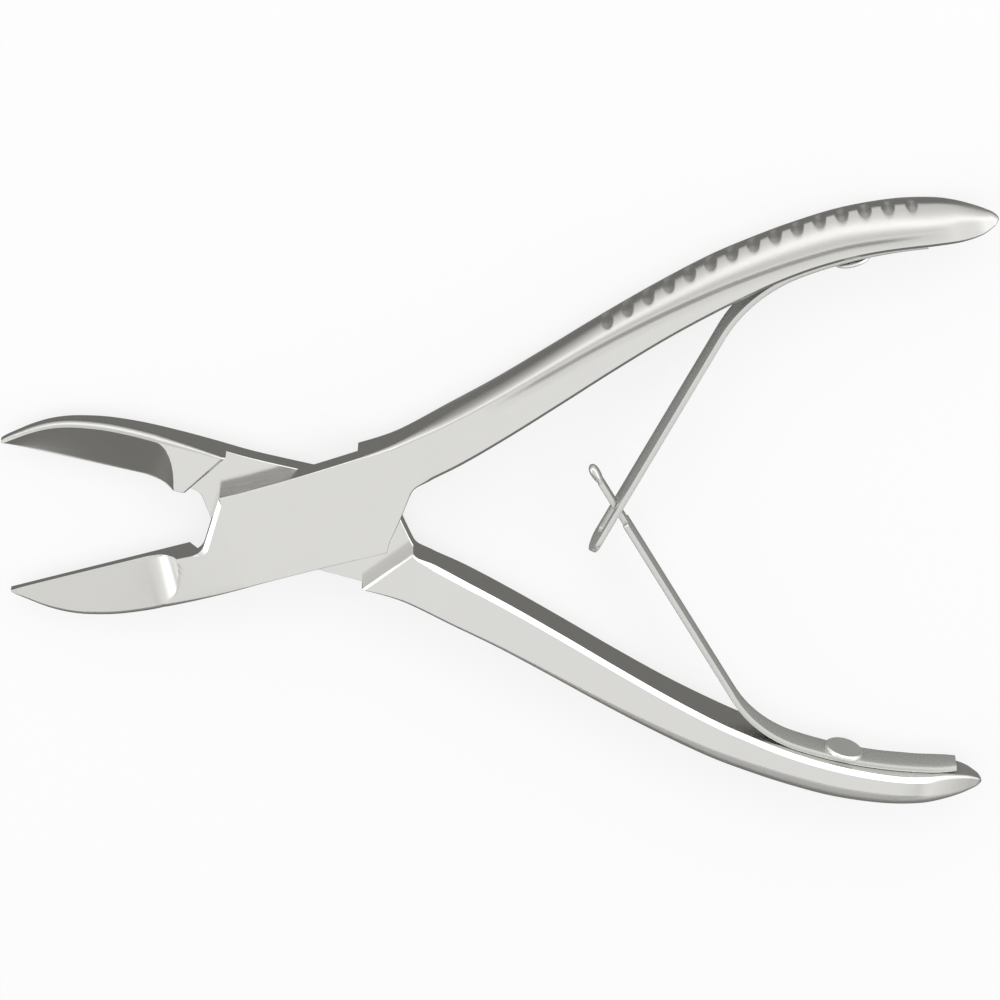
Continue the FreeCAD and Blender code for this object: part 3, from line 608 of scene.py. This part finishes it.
# %% Grip grooves
GROOVE_FIRST_X, GROOVE_PITCH, GROOVE_COUNT = 43.8, 2.99, 15
GROOVE_RADIUS = 1.15
GROOVE_DEPTH = [(43, 0.5), (60, 0.48), (82, 0.42), (86, 0.28)]
GROOVE_LEAN = [(43, 0.12), (60, 0.16), (86, 0.2)]
GROOVE_RIM = 0.05
GROOVED_FROM_X, GROOVED_TO_X, GROOVED_BAND = 41, 88, 2.5
GROOVE_SIDE_STEEPNESS = 50


def groove_centres():
    """Places, heights and slopes of the grooves' axes, which stand above the outer side by radius less
    depth."""
    x = GROOVE_FIRST_X + GROOVE_PITCH * np.arange(GROOVE_COUNT)
    slope = upper_boundary(x + 0.5) - upper_boundary(x - 0.5)
    lift = (GROOVE_RADIUS - between(GROOVE_DEPTH, x)) / np.hypot(1, slope)
    return x - lift * slope, upper_boundary(x) + lift


def cut_grooves(x, y, z, side):
    """Keeps y under the floors of the grooves, which are cylinders across the handle, leaning so that they
    are deeper on the half's outside. The lower of the two heights is taken softly, which leaves a narrow
    round rim."""
    centre_x, centre_y = groove_centres()
    nearest = np.argmin(np.abs(x[..., None] - centre_x), axis=-1)
    off = np.abs(x - centre_x[nearest])
    floor = centre_y[nearest] - np.sqrt(np.maximum(GROOVE_RADIUS**2 - off**2, 0))
    floor = floor - between(GROOVE_LEAN, x) * (z - MIDDLE_Z) * side
    floor = floor + np.maximum(off - GROOVE_RADIUS * 0.98, 0) * GROOVE_SIDE_STEEPNESS
    soft = np.clip(GROOVE_RIM - np.abs(floor - y), 0, None) ** 2 / (4 * GROOVE_RIM)
    grooved = (x > GROOVED_FROM_X) & (x < GROOVED_TO_X) & (y > upper_boundary(x) - GROOVED_BAND)
    return np.where(grooved, np.minimum(y, floor) - soft, y)


print(f"{GROOVE_COUNT} grooves on each handle, {GROOVE_PITCH} mm apart")

# %% [markdown]
# ### Where the steel is duller and painted darker
# The belt leaves the handles' crowns duller than the flats. The rounded backs of the jaws, the front half's
# facet, a strip of its front face by the crown and the handles' noses are duller too. The same places are
# painted darker, which is painted shade. It could be painted as an image, but these values follow the same
# profile as the shape. So each point of the skin gets a number from 0, brushed bright, to 1, the roughest
# and with the most painted shade.

# %% Roughness and painted shade of each point
# Where the steel is rougher and carries painted shade in its colour, and how much.
CROWN_SATIN_AND_SHADE = [(0, 0.3), (0.08, 1), (0.7, 1), (0.9, 0.2), (1, 0)]
CROWN_SATIN_AND_SHADE_X, CROWN_SATIN_AND_SHADE_FADE = -2, 24
JAW_SATIN_AND_SHADE_X, JAW_SATIN_AND_SHADE_FADE = -17, 3
NOSE_SATIN_AND_SHADE_X, NOSE_SATIN_AND_SHADE_FADE, NOSE_SATIN_AND_SHADE = 89, 4, 0.9
FACET_SATIN_AND_SHADE = 0.45
CREASE_SATIN_AND_SHADE, CREASE_SATIN_AND_SHADE_X, CREASE_SATIN_AND_SHADE_FADE, CREASE_SATIN_AND_SHADE_WIDTH = 0.45, 25, 10, 2


def rising(x, start, fade):
    """0 up to a start and 1 from a fade's length beyond it, as a column. A negative fade rises towards -X."""
    return np.clip((x - start) / fade, 0, 1)[:, None]


def face_satin_and_shade(lines, t, face, top_wide, side):
    """Roughness and painted shade values of the front face: none on the back half, and on the front half the
    facet and a strip by the crown."""
    if side < 0:
        return np.zeros_like(t)
    s = lines.high_x
    ground = facet_height(face[..., 0], face[..., 1]) < front_height(face[..., 0]) + 0.001
    # A strip of the flat by the crown, rougher and with painted shade.
    strip = np.clip(CREASE_SATIN_AND_SHADE_WIDTH - crown_distance(lines, t, top_wide), 0, 1)
    strip = strip * rising(s, CREASE_SATIN_AND_SHADE_X, CREASE_SATIN_AND_SHADE_FADE) * CREASE_SATIN_AND_SHADE
    return rising(s, JAW_SATIN_AND_SHADE_X, -JAW_SATIN_AND_SHADE_FADE) * ground * FACET_SATIN_AND_SHADE + strip


print(f"crowns: roughness up by {SATIN_ROUGHNESS} at most")

# %% [markdown]
# ### Carrying the profile
# All cross lines are worked out together: each row of an array is one profile, and each column is the same
# place on every profile. Neighbouring rows are joined by four-sided faces, and the two ends are closed.

# %% Skin of a half
BACK_SHARES = [0.006, 0.25, 0.5, 0.75, 0.994]
NOSE_POWER, NOSE_ROUNDNESS = 2.4, 0.42


def wall(first, last):
    """Two points of an upright wall, just inside its ends."""
    reach = last - first
    share = np.minimum(GUARD / np.maximum(np.abs(reach[:, 2]), 0.1), 0.3)[:, None]
    return np.stack([first + reach * share, last - reach * share], axis=1)


def low_corner(lines, wide, z, drop):
    """A corner on the lower boundary, from the face at height z to the wall."""
    roundness = between(BACK_EDGE_ROUND, lines.low_x)
    finish = (np.zeros_like(wide), z - drop)
    return along(lines, *corner((wide, z), finish, roundness, np.full_like(wide, 2.0), CORNER_POINTS))


def top_corner(lines, wide, z, drop, power):
    """A corner on the upper boundary, from the face at height z to the wall."""
    roundness = between(TOP_EDGE_ROUND, lines.high_x)
    start, finish = (lines.length - wide, z), (lines.length, z - drop)
    return along(lines, *corner(start, finish, roundness, power, CROWN_POINTS))


def back_face(lines, low_wide, top_wide, lapped):
    """Points of the flat back face, a few on each cross line, at the lap's level where it is cut away."""
    first = lines.length - top_wide
    t = first[:, None] + (low_wide - first)[:, None] * np.array(BACK_SHARES)
    face = along(lines, t, np.zeros_like(t))
    face[..., 2] = np.where(lapped[:, None], MIDDLE_Z + PLATE_GAP, back_height(face[..., 0]))
    return face


def round_nose(skin):
    """Draws the last profiles in towards their middles, by the curve (1 - q to a power) to a power."""
    q = np.clip((skin[..., 0] - NOSE_X) / (NOSE_TIP_X - NOSE_X), 0, 1)
    shrink = (1 - q**NOSE_POWER) ** NOSE_ROUNDNESS
    middle = skin.mean(axis=1, keepdims=True)
    skin[..., 1:] = middle[..., 1:] + (skin[..., 1:] - middle[..., 1:]) * shrink[..., None]
    return skin


def half_skin(side):
    """Points in millimetres of the front half (side 1) or the back half (side -1), closed, with the handle
    at +Y: one row for each cross line, which joins walls, corners and faces in order. Also each point's value
    for roughness and painted shade."""
    s = columns()
    lines = cross_lines(s)
    in_plate = (s > JAW_SHOULDER_X + STEP / 2) & (s < HANDLE_SHOULDER_X - STEP / 2)
    front_lap, back_lap = in_plate & (side < 0), in_plate & (side > 0)
    front_low, back_low = low_sizes(lines, front_lap)
    front_corner, back_corner = top_sizes(lines, front_lap, side)
    front_top, front_deep, front_power = front_corner
    back_top, back_deep, back_power = back_corner

    face_t, face = front_face(lines, front_low, front_top, side, front_lap)
    back = back_face(lines, back_low, back_top, back_lap)
    low_front = low_corner(lines, front_low, face[:, 0, 2], front_low)[:, ::-1]
    top_front = top_corner(lines, front_top, face[:, -1, 2], front_deep, front_power)
    top_back = top_corner(lines, back_top, back[:, 0, 2], -back_deep, back_power)[:, ::-1]
    low_back = low_corner(lines, back_low, back[:, -1, 2], -back_low)
    low_wall = wall(low_back[:, -1], low_front[:, 0])
    top_wall = wall(top_front[:, -1], top_back[:, 0])

    # Values for roughness and painted shade: on the crowns, the jaws' backs, the front face and the noses.
    crown = rising(s, CROWN_SATIN_AND_SHADE_X, CROWN_SATIN_AND_SHADE_FADE) * between(CROWN_SATIN_AND_SHADE, np.linspace(0, 1, CROWN_POINTS))
    jaw = rising(s, JAW_SATIN_AND_SHADE_X, -JAW_SATIN_AND_SHADE_FADE)
    parts = [
        (low_wall, 0),
        (low_front, jaw),
        (face, face_satin_and_shade(lines, face_t, face, front_top, side)),
        (top_front, crown),
        (top_wall, 0),
        (top_back, crown[:, ::-1]),
        (back, 0),
        (low_back, 0),
    ]
    skin = np.concatenate([points for points, _ in parts], axis=1)
    satin_and_shade = np.concatenate([np.broadcast_to(value, points.shape[:2]) for points, value in parts], axis=1)
    satin_and_shade = np.maximum(satin_and_shade, rising(s, NOSE_SATIN_AND_SHADE_X, NOSE_SATIN_AND_SHADE_FADE) * NOSE_SATIN_AND_SHADE)
    skin[..., 1] = cut_grooves(*np.moveaxis(skin, -1, 0), side)
    return round_nose(skin), satin_and_shade


print("profiles and points in each:", *half_skin(1)[1].shape)

# %% [markdown]
# ### From points to pieces
# The skin's points are turned from closed to the photograph's opening and handed to Blender as one mesh for
# each half. Faces that meet at more than a small angle stay sharp, as ground edges do. Each new piece takes
# the place of its constructed half and rides on it when the tool moves.

# %% The two forgings


def open_up(points, side):
    """Mirrors the back half's points to its own side, and turns a half from closed to the photograph's
    opening: a rotation in plan by half the opening angle."""
    angle = side * HALF_OPENING
    x, y = points[..., 0], side * points[..., 1]
    turned_x = x * math.cos(angle) - y * math.sin(angle)
    turned_y = x * math.sin(angle) + y * math.cos(angle)
    return np.stack([turned_x, turned_y, points[..., 2]], axis=-1)


def grid_faces(rows, count, flip):
    """Four-sided faces between neighbouring rows of a closed profile, as vertex numbers."""
    start = np.arange(rows - 1)[:, None] * count + np.arange(count)[None, :]
    after = np.arange(rows - 1)[:, None] * count + (np.arange(count)[None, :] + 1) % count
    quads = np.stack([start, start + count, after + count, after], axis=-1).reshape(-1, 4)
    return quads[:, ::-1] if flip else quads


def make_mesh(name, points, quads, caps=(), sharp=25.0):
    """A mesh from points in millimetres, smooth except where two faces meet more sharply than an angle in
    degrees."""
    mesh = bpy.data.meshes.new(name)
    faces = quads.tolist() + [list(cap) for cap in caps]
    mesh.from_pydata((points.reshape(-1, 3) * MM).tolist(), [], faces)
    mesh.polygons.foreach_set("use_smooth", np.ones(len(faces), bool))
    mesh.set_sharp_from_angle(angle=math.radians(sharp))
    mesh.validate()
    piece = bpy.data.objects.new(name, mesh)
    bpy.context.scene.collection.objects.link(piece)
    return piece


def make_half(name, node, side, material):
    """A half's skin as a piece in place of its constructed node, closed by a face at each end."""
    skin, satin_and_shade = half_skin(side)
    skin = open_up(skin, side)
    rows, count = skin.shape[:2]
    first = list(range(count))
    last = [(rows - 1) * count + number for number in reversed(range(count))]
    if side < 0:
        first, last = first[::-1], last[::-1]
    piece = make_mesh(name, skin, grid_faces(rows, count, side < 0), (first, last))
    piece.data.materials.append(material)
    # Each point's value for roughness and painted shade, read by the steel's material.
    satin_and_shade_values = piece.data.attributes.new("satin_and_shade", "FLOAT", "POINT").data
    satin_and_shade_values.foreach_set("value", satin_and_shade.ravel().astype(np.float32))
    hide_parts(node)
    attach(piece, node)
    print(f"{name}: {len(piece.data.polygons)} faces")


make_half("front_half_forging", "front_half", 1, upper_steel)
make_half("back_half_forging", "back_half", -1, lower_steel)

# %% [markdown]
# ## The spring leaves
# Each leaf is a strip of spring steel 0.8 mm thick. Its root lies on the bowed inner face under a screw,
# then it bends away and runs straight to the other leaf. It could be an extruded curve, but its width
# changes and one leaf has a slot. So its outline is drawn flat, as half widths along the strip, and laid on
# the route.

# %% Route of a leaf
LEAF_HALF_THICK = 0.4
ROOT_GAP = 0.03
ROOT_RADIUS = BELLY_RADIUS - LEAF_HALF_THICK - ROOT_GAP
LEAVES_HANDLE_X = 6.8
ROOT_END = math.asin(-LEAVES_HANDLE_X / BELLY_RADIUS)
LEAF_SLOPE = math.radians(-46.9)


def root_length(reach):
    """Length of a leaf's root, from a reach beyond the screw to where the leaf leaves the handle."""
    return ROOT_RADIUS * (math.asin(reach / BELLY_RADIUS) - ROOT_END)


def around(centre, radius, angle):
    """Points on a circle. The angle is counted from +Y towards +X."""
    return np.stack([centre[0] + radius * np.sin(angle), centre[1] + radius * np.cos(angle)], axis=-1)


def leaf_route(s, bend_radius):
    """Mid-line points at lengths s from where the leaf leaves the handle, less than 0 on the root, and
    directions across: an arc, a tighter arc that starts along the first, and a straight that goes on along
    the second."""
    belly_centre = (BELLY_X, BELLY_Y - BELLY_RADIUS)
    bend_centre = around(belly_centre, ROOT_RADIUS - bend_radius, np.array(ROOT_END))
    bend_length = bend_radius * (ROOT_END - LEAF_SLOPE)
    angle = ROOT_END - np.minimum(s, 0) / ROOT_RADIUS - np.clip(s, 0, bend_length) / bend_radius
    on_root = around(belly_centre, ROOT_RADIUS, angle)
    on_bend = around(bend_centre, bend_radius, angle)
    straight = np.maximum(s - bend_length, 0)[..., None]
    forward = np.stack([-np.cos(angle), np.sin(angle)], axis=-1)
    across = np.stack([np.sin(angle), np.cos(angle)], axis=-1)
    return np.where((s > 0)[..., None], on_bend, on_root) + straight * forward, across


def lay(s, out, z, bend_radius):
    """Puts flat points on the route: lengths s, distances out from the mid-line and z from the middle."""
    middle, across = leaf_route(s, bend_radius)
    flat = middle + out[..., None] * across
    return np.concatenate([flat, z[..., None] + MIDDLE_Z], axis=-1)


print(f"a leaf's root lies {BELLY_RADIUS - ROOT_RADIUS:.2f} mm under the inner face, at its middle")

# %% [markdown]
# ### Rails
# A leaf with a slot is two rails side by side that join beyond the slot's ends. So both leaves are made as
# two rails, each carried along the route with its own inner and outer half width. Where the inner width is
# zero the rails touch, and the faces that then lie back to back are left out, which makes one closed skin.

# %% Rails of a leaf
LEAF_ROUND = 0.12
RING_POINTS = 8
END_QUADS = [(0, 1, 2, 7), (2, 3, 6, 7), (3, 4, 5, 6)]


def rail(s, inner, outer, side):
    """Flat points of one rail: a ring at each length, square on its inner side and with corners of radius r
    on its outer side, whose middle point is 0.3 r inside the square corner both ways."""
    r = np.minimum(LEAF_ROUND, (outer - inner) * 0.4)
    t = np.full_like(s, LEAF_HALF_THICK)
    out = np.stack([-t, t, t, t - 0.3 * r, t - r, r - t, 0.3 * r - t, -t], axis=1)
    z = np.stack([inner, inner, outer - r, outer - 0.3 * r, outer, outer, outer - 0.3 * r, outer - r], axis=1)
    return np.stack([np.repeat(s[:, None], RING_POINTS, axis=1), out, z * side], axis=-1)


def weld(points, quads):
    """Joins points in one place, and leaves out both of any two faces that then lie back to back."""
    places, number = np.unique(points.reshape(-1, 3).round(5), axis=0, return_inverse=True)
    quads = number.ravel()[quads]
    _, kind, count = np.unique(np.sort(quads, axis=1), axis=0, return_inverse=True, return_counts=True)
    return places, quads[count[kind.ravel()] == 1]


def leaf_points(s, inner, outer, bend_radius):
    """Points and quads of a leaf with half widths inner and outer at lengths s."""
    rows = len(s)
    cap = np.array(END_QUADS)
    ends = np.concatenate([cap, cap[:, ::-1] + (rows - 1) * RING_POINTS])
    quads = np.concatenate([grid_faces(rows, RING_POINTS, False), ends])
    faces = [quads, quads[:, ::-1] + rows * RING_POINTS]
    rails = np.stack([rail(s, inner, outer, side) for side in (1, -1)])
    return weld(lay(*np.moveaxis(rails, -1, 0), bend_radius), np.concatenate(faces))


# %% [markdown]
# ### The upper leaf
# The upper leaf is wide, with a round end and a slot for the lower leaf's tongue.

# %% Upper leaf
UPPER_BEND, LOWER_BEND = 20.0, 16.5
UPPER_LENGTH = UPPER_BEND * (ROOT_END - LEAF_SLOPE) + 36.0
UPPER_ROOT = root_length(10.0)
UPPER_HALF_WIDTH = 2.15
END_HALF_WIDTH = 0.06
SLOT_START, SLOT_END, SLOT_HALF_WIDTH = UPPER_LENGTH - 8.5, UPPER_LENGTH - 2.7, 1.15
LEAF_ROWS = 180


def round_end(distance, radius):
    """Half width of a round end at a distance from it, by the circle's equation."""
    inside = np.clip(distance, 0, radius)
    return np.sqrt(np.maximum(radius**2 - (radius - inside) ** 2, 0))


def finish_leaf(name, node, places, quads, side):
    """Makes a leaf piece in place of its constructed node, turned open with its half and finished in spring
    steel.
    """
    quads = quads[:, ::-1] if side < 0 else quads
    piece = make_mesh(name, open_up(places, side), quads)
    piece.data.materials.append(spring_steel)
    bend = UPPER_BEND if side > 0 else LOWER_BEND
    ends, _ = leaf_route(np.array([0, bend * (ROOT_END - LEAF_SLOPE)]), bend)
    ends = open_up(np.column_stack([ends, np.full(2, MIDDLE_Z)]), side) * MM
    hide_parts(node)
    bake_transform(piece)
    print(f"{name}: {len(quads)} faces")


def make_upper_leaf():
    """A strip with a round end, less a slot with round ends. The rows are closer together around the round
    ends."""
    arc = 1 - np.cos(np.linspace(0, math.pi / 2, 12))
    s = np.unique(np.concatenate([
        np.linspace(-UPPER_ROOT, UPPER_LENGTH - UPPER_HALF_WIDTH, LEAF_ROWS),
        UPPER_LENGTH - UPPER_HALF_WIDTH * arc,
        SLOT_START + SLOT_HALF_WIDTH * arc,
        SLOT_END - SLOT_HALF_WIDTH * arc,
    ]))
    outer = np.maximum(round_end(UPPER_LENGTH - s, UPPER_HALF_WIDTH), END_HALF_WIDTH)
    inner = np.minimum(round_end(s - SLOT_START, SLOT_HALF_WIDTH), round_end(SLOT_END - s, SLOT_HALF_WIDTH))
    places, quads = leaf_points(s, inner, outer, UPPER_BEND)
    finish_leaf("upper_leaf", "upper_spring", places, quads, 1)


make_upper_leaf()

# %% [markdown]
# ### The lower leaf
# The lower leaf narrows from its root, steps down at a shoulder to the tongue that slides in the slot, and
# ends in a flattened drop that keeps the tongue from slipping out. The drop could be a squashed sphere, but
# it is longer towards the tongue. So it is an ellipse carried along the route, swelling by a table and
# closed at both ends.

# %% Lower leaf
LOWER_LENGTH = LOWER_BEND * (ROOT_END - LEAF_SLOPE) + 30.2
LOWER_ROOT = root_length(15.5)
LOWER_WIDTHS = [(-LOWER_ROOT, 1.5), (1.2 - LOWER_ROOT, 1.8), (3 - LOWER_ROOT, 1.95), (0, 1.95), (13, 1.5),
                (LOWER_LENGTH - 0.12, 1.5), (LOWER_LENGTH, 1.38), (LOWER_LENGTH + 0.02, 0.9),
                (LOWER_LENGTH + 0.2, 0.8)]
TONGUE_LENGTH = 6.75
SHOULDER_ROWS = [-0.12, 0, 0.02, 0.08, 0.2, TONGUE_LENGTH / 2, TONGUE_LENGTH]
KNOB_LENGTH, KNOB_HALF_THICK, KNOB_HALF_WIDTH = 3.1, 0.66, 0.98
KNOB_START = LOWER_LENGTH + TONGUE_LENGTH - 0.35
KNOB_SHAPE = [(0, 0.6), (0.12, 0.66), (0.35, 0.9), (0.55, 1.0), (0.75, 0.97), (0.9, 0.72), (0.97, 0.42),
              (1, 0.02)]
KNOB_POINTS = 24


def ring_caps(rows, count):
    """Quads that close the first and the last ring of a tube: rungs between its two sides, like a
    ladder's."""
    rung = np.arange(count // 2 - 1)
    ladder = np.stack([rung, rung + 1, count - 2 - rung, count - 1 - rung], axis=1)
    return np.concatenate([ladder, ladder[:, ::-1] + (rows - 1) * count])


def knob_points():
    """Points and quads of the drop: ellipses at shares u of its length, with finer steps at its end."""
    end = 1 - 0.1 * np.cos(np.linspace(0, math.pi / 2, 8)) ** 2
    u = np.unique(np.concatenate([np.linspace(0, 0.9, 19), end]))
    turn = np.arange(KNOB_POINTS)[None, :] * 2 * math.pi / KNOB_POINTS
    size = through(KNOB_SHAPE, u)[:, None]
    s = np.repeat((KNOB_START + KNOB_LENGTH * u)[:, None], KNOB_POINTS, axis=1)
    points = lay(s, KNOB_HALF_THICK * size * np.cos(turn), KNOB_HALF_WIDTH * size * np.sin(turn), LOWER_BEND)
    tube = grid_faces(len(u), KNOB_POINTS, False)
    return points.reshape(-1, 3), np.concatenate([tube, ring_caps(len(u), KNOB_POINTS)])


def make_lower_leaf():
    """A strip that follows the table of half widths, and the drop that overlaps its end."""
    s = np.unique(np.concatenate([
        np.linspace(-LOWER_ROOT, LOWER_LENGTH - 0.3, LEAF_ROWS),
        LOWER_LENGTH + np.array(SHOULDER_ROWS),
    ]))
    places, quads = leaf_points(s, np.zeros_like(s), between(LOWER_WIDTHS, s), LOWER_BEND)
    knob, knob_quads = knob_points()
    quads = np.concatenate([quads, knob_quads + len(places)])
    finish_leaf("lower_leaf", "lower_spring", np.concatenate([places, knob]), quads, -1)


make_lower_leaf()

# %% [markdown]
# ## White surround
# The tool lies on white, and its shadow is faint. More light would whiten the ground but burn out the steel.
# So the white comes from the floor's and the world's own materials, where the camera and reflections see
# them, and the light that falls on the tool stays at a plain level. The floor is hidden from the steel's
# reflections.

# %% Floor and world
FLOOR_SIZE = 3.0
FLOOR_GAP = 0.05 * MM
FLOOR_COLOUR = (0.9, 0.9, 0.9, 1)
FLOOR_GLOW = 1.05
FLOOR_SHARE = 0.72
DOME_LIGHT = 0.62
floor_level = cad_box[0][2] - FLOOR_GAP


def rays_that_see(tree):
    """1 for rays from the camera, from reflections and through glass, and 0 for the light that falls on
    things."""
    path = tree.nodes.new("ShaderNodeLightPath")
    camera_ray, glossy, through_glass = (
        Sum(tree, path.outputs[name]) for name in ("Is Camera Ray", "Is Glossy Ray", "Is Transmission Ray")
    )
    total = camera_ray + glossy + through_glass
    return total.maths("MINIMUM", total, 1.0)


def flat_sheet(name, width, depth, place, direction, material):
    """A flat four-sided sheet, its middle at place, that faces along direction."""
    turn = Vector(direction).to_track_quat("Z", "X").to_matrix()
    signs = [(-1, -1), (1, -1), (1, 1), (-1, 1)]
    corners = [Vector(place) + turn @ Vector((x * width / 2, y * depth / 2, 0)) for x, y in signs]
    mesh = bpy.data.meshes.new(name)
    mesh.from_pydata(corners, [], [(0, 1, 2, 3)])
    mesh.materials.append(material)
    sheet = bpy.data.objects.new(name, mesh)
    bpy.context.scene.collection.objects.link(sheet)
    return sheet


def empty_material(name):
    """A material without nodes, and its node tree."""
    material = bpy.data.materials.new(name)
    material.use_nodes = True
    material.node_tree.nodes.clear()
    return material, material.node_tree


def make_floor():
    """A wide pale floor that is partly its own white where rays see it, and matt where light falls on it."""
    material, tree = empty_material("pale_floor")
    matt = tree.nodes.new("ShaderNodeBsdfDiffuse")
    matt.inputs["Color"].default_value = FLOOR_COLOUR
    bright = tree.nodes.new("ShaderNodeEmission")
    bright.inputs["Strength"].default_value = FLOOR_GLOW
    mix = tree.nodes.new("ShaderNodeMixShader")
    tree.links.new((rays_that_see(tree) * FLOOR_SHARE).socket, mix.inputs["Fac"])
    tree.links.new(matt.outputs[0], mix.inputs[1])
    tree.links.new(bright.outputs[0], mix.inputs[2])
    tree.links.new(mix.outputs[0], tree.nodes.new("ShaderNodeOutputMaterial").inputs["Surface"])
    floor = flat_sheet("floor", FLOOR_SIZE, FLOOR_SIZE, (0, 0, floor_level), (0, 0, 1), material)
    floor.visible_glossy = False


def make_world():
    """A dome that is white where rays see it and gives less light than it shows."""
    world = bpy.data.worlds.new("studio")
    bpy.context.scene.world = world
    world.use_nodes = True
    tree = world.node_tree
    background = tree.nodes["Background"]
    background.inputs["Color"].default_value = (1, 1, 1, 1)
    strength = rays_that_see(tree) * (1.0 - DOME_LIGHT) + DOME_LIGHT
    tree.links.new(strength.socket, background.inputs["Strength"])


make_floor()
make_world()
bpy.context.scene.view_settings.view_transform = "Standard"
print(f"floor {FLOOR_SIZE} m wide at {floor_level * 1000:.2f} mm")

# %% [markdown]
# ## Grey sheets
# Bright steel shows what stands around it. In the photograph a face is bright where it is turned less than
# 45 degrees from the camera, and a deep grey where it is turned further, as if a dark sheet hung behind the
# tool, square to the view. The walls by the jaws, the walls that are square to the plate and the hollow
# facet of the upper jaw are dark too, from things beside the camera and in front of the tool. The steel
# could be painted darker there, but it would stay dark in every pose; only the facet also carries some
# painted shade in its colour. So four grey sheets stand around the tool, seen only in reflections.

# %% Sheets seen only in reflections
WARMTH = (1.0, 0.99, 0.95)
BEHIND_TOOL = 0.15
BESIDE_CAMERA = (-0.27, 0.4, 0.876)
LOW_IN_FRONT = (0.12, -0.74, 0.66)


def grey_sheet(name, width, depth, place, direction, grey):
    """A sheet that glows in one warm grey, hidden from all but reflections."""
    material, tree = empty_material(name)
    glow = tree.nodes.new("ShaderNodeEmission")
    glow.inputs["Color"].default_value = (*(grey * share for share in WARMTH), 1)
    tree.links.new(glow.outputs[0], tree.nodes.new("ShaderNodeOutputMaterial").inputs["Surface"])
    sheet = flat_sheet(name, width, depth, place, direction, material)
    sheet.visible_camera = False
    sheet.visible_diffuse = False
    sheet.visible_transmission = False
    sheet.visible_shadow = False


grey_sheet("dark_backing", 1.7, 1.7, VIEW_CENTRE - back * BEHIND_TOOL, back, 0.2)
grey_sheet("dark_by_jaws", 0.27, 0.3, (-0.15, -0.12, 0.0), (0, 1, 0), 0.2)
beside_camera = Vector(BESIDE_CAMERA).normalized()
grey_sheet("dark_beside_camera", 0.14, 0.36, beside_camera, -beside_camera, 0.02)
low_in_front = Vector(LOW_IN_FRONT).normalized()
grey_sheet("dark_in_front", 0.26, 0.5, low_in_front, -low_in_front, 0.05)

# %% [markdown]
# ## Lamps
# Three broad lamps stand low around the tool, on the left, on the right and behind, like the windows of a
# studio. Small lamps would make hard shadows and points of light. Broad ones show in the bevels as soft
# white bands.

# %% Soft lamps
LAMP_DISTANCE = 1.2


def soft_lamp(name, azimuth, elevation, width, height, brightness):
    """A broad lamp that faces the tool. Azimuth is counted from +X towards +Y, both angles in degrees, and
    its energy grows with its area, so that brightness is how bright its face looks."""
    a, e = math.radians(azimuth), math.radians(elevation)
    direction = Vector((math.cos(a) * math.cos(e), math.sin(a) * math.cos(e), math.sin(e)))
    data = bpy.data.lights.new(name, "AREA")
    data.shape = "RECTANGLE"
    data.size = width
    data.size_y = height
    data.energy = brightness * math.pi * width * height
    lamp = bpy.data.objects.new(name, data)
    bpy.context.scene.collection.objects.link(lamp)
    lamp.location = direction * LAMP_DISTANCE
    lamp.rotation_euler = direction.to_track_quat("Z", "Y").to_euler()


soft_lamp("lamp_left", 180, 19, 1.9, 0.62, 1.3)
soft_lamp("lamp_behind", 90, 28, 1.9, 0.62, 1.3)
soft_lamp("lamp_right", 10, 22, 1.6, 0.6, 1.4)
print("lamps:", ", ".join(light.name for light in bpy.data.lights))

# %% [markdown]
# ## Sizes
# The box around the construction is printed in millimetres.

# %% Sizes
print("construction's size in mm:", [round((high - low) / MM, 1) for low, high in zip(*cad_box)])
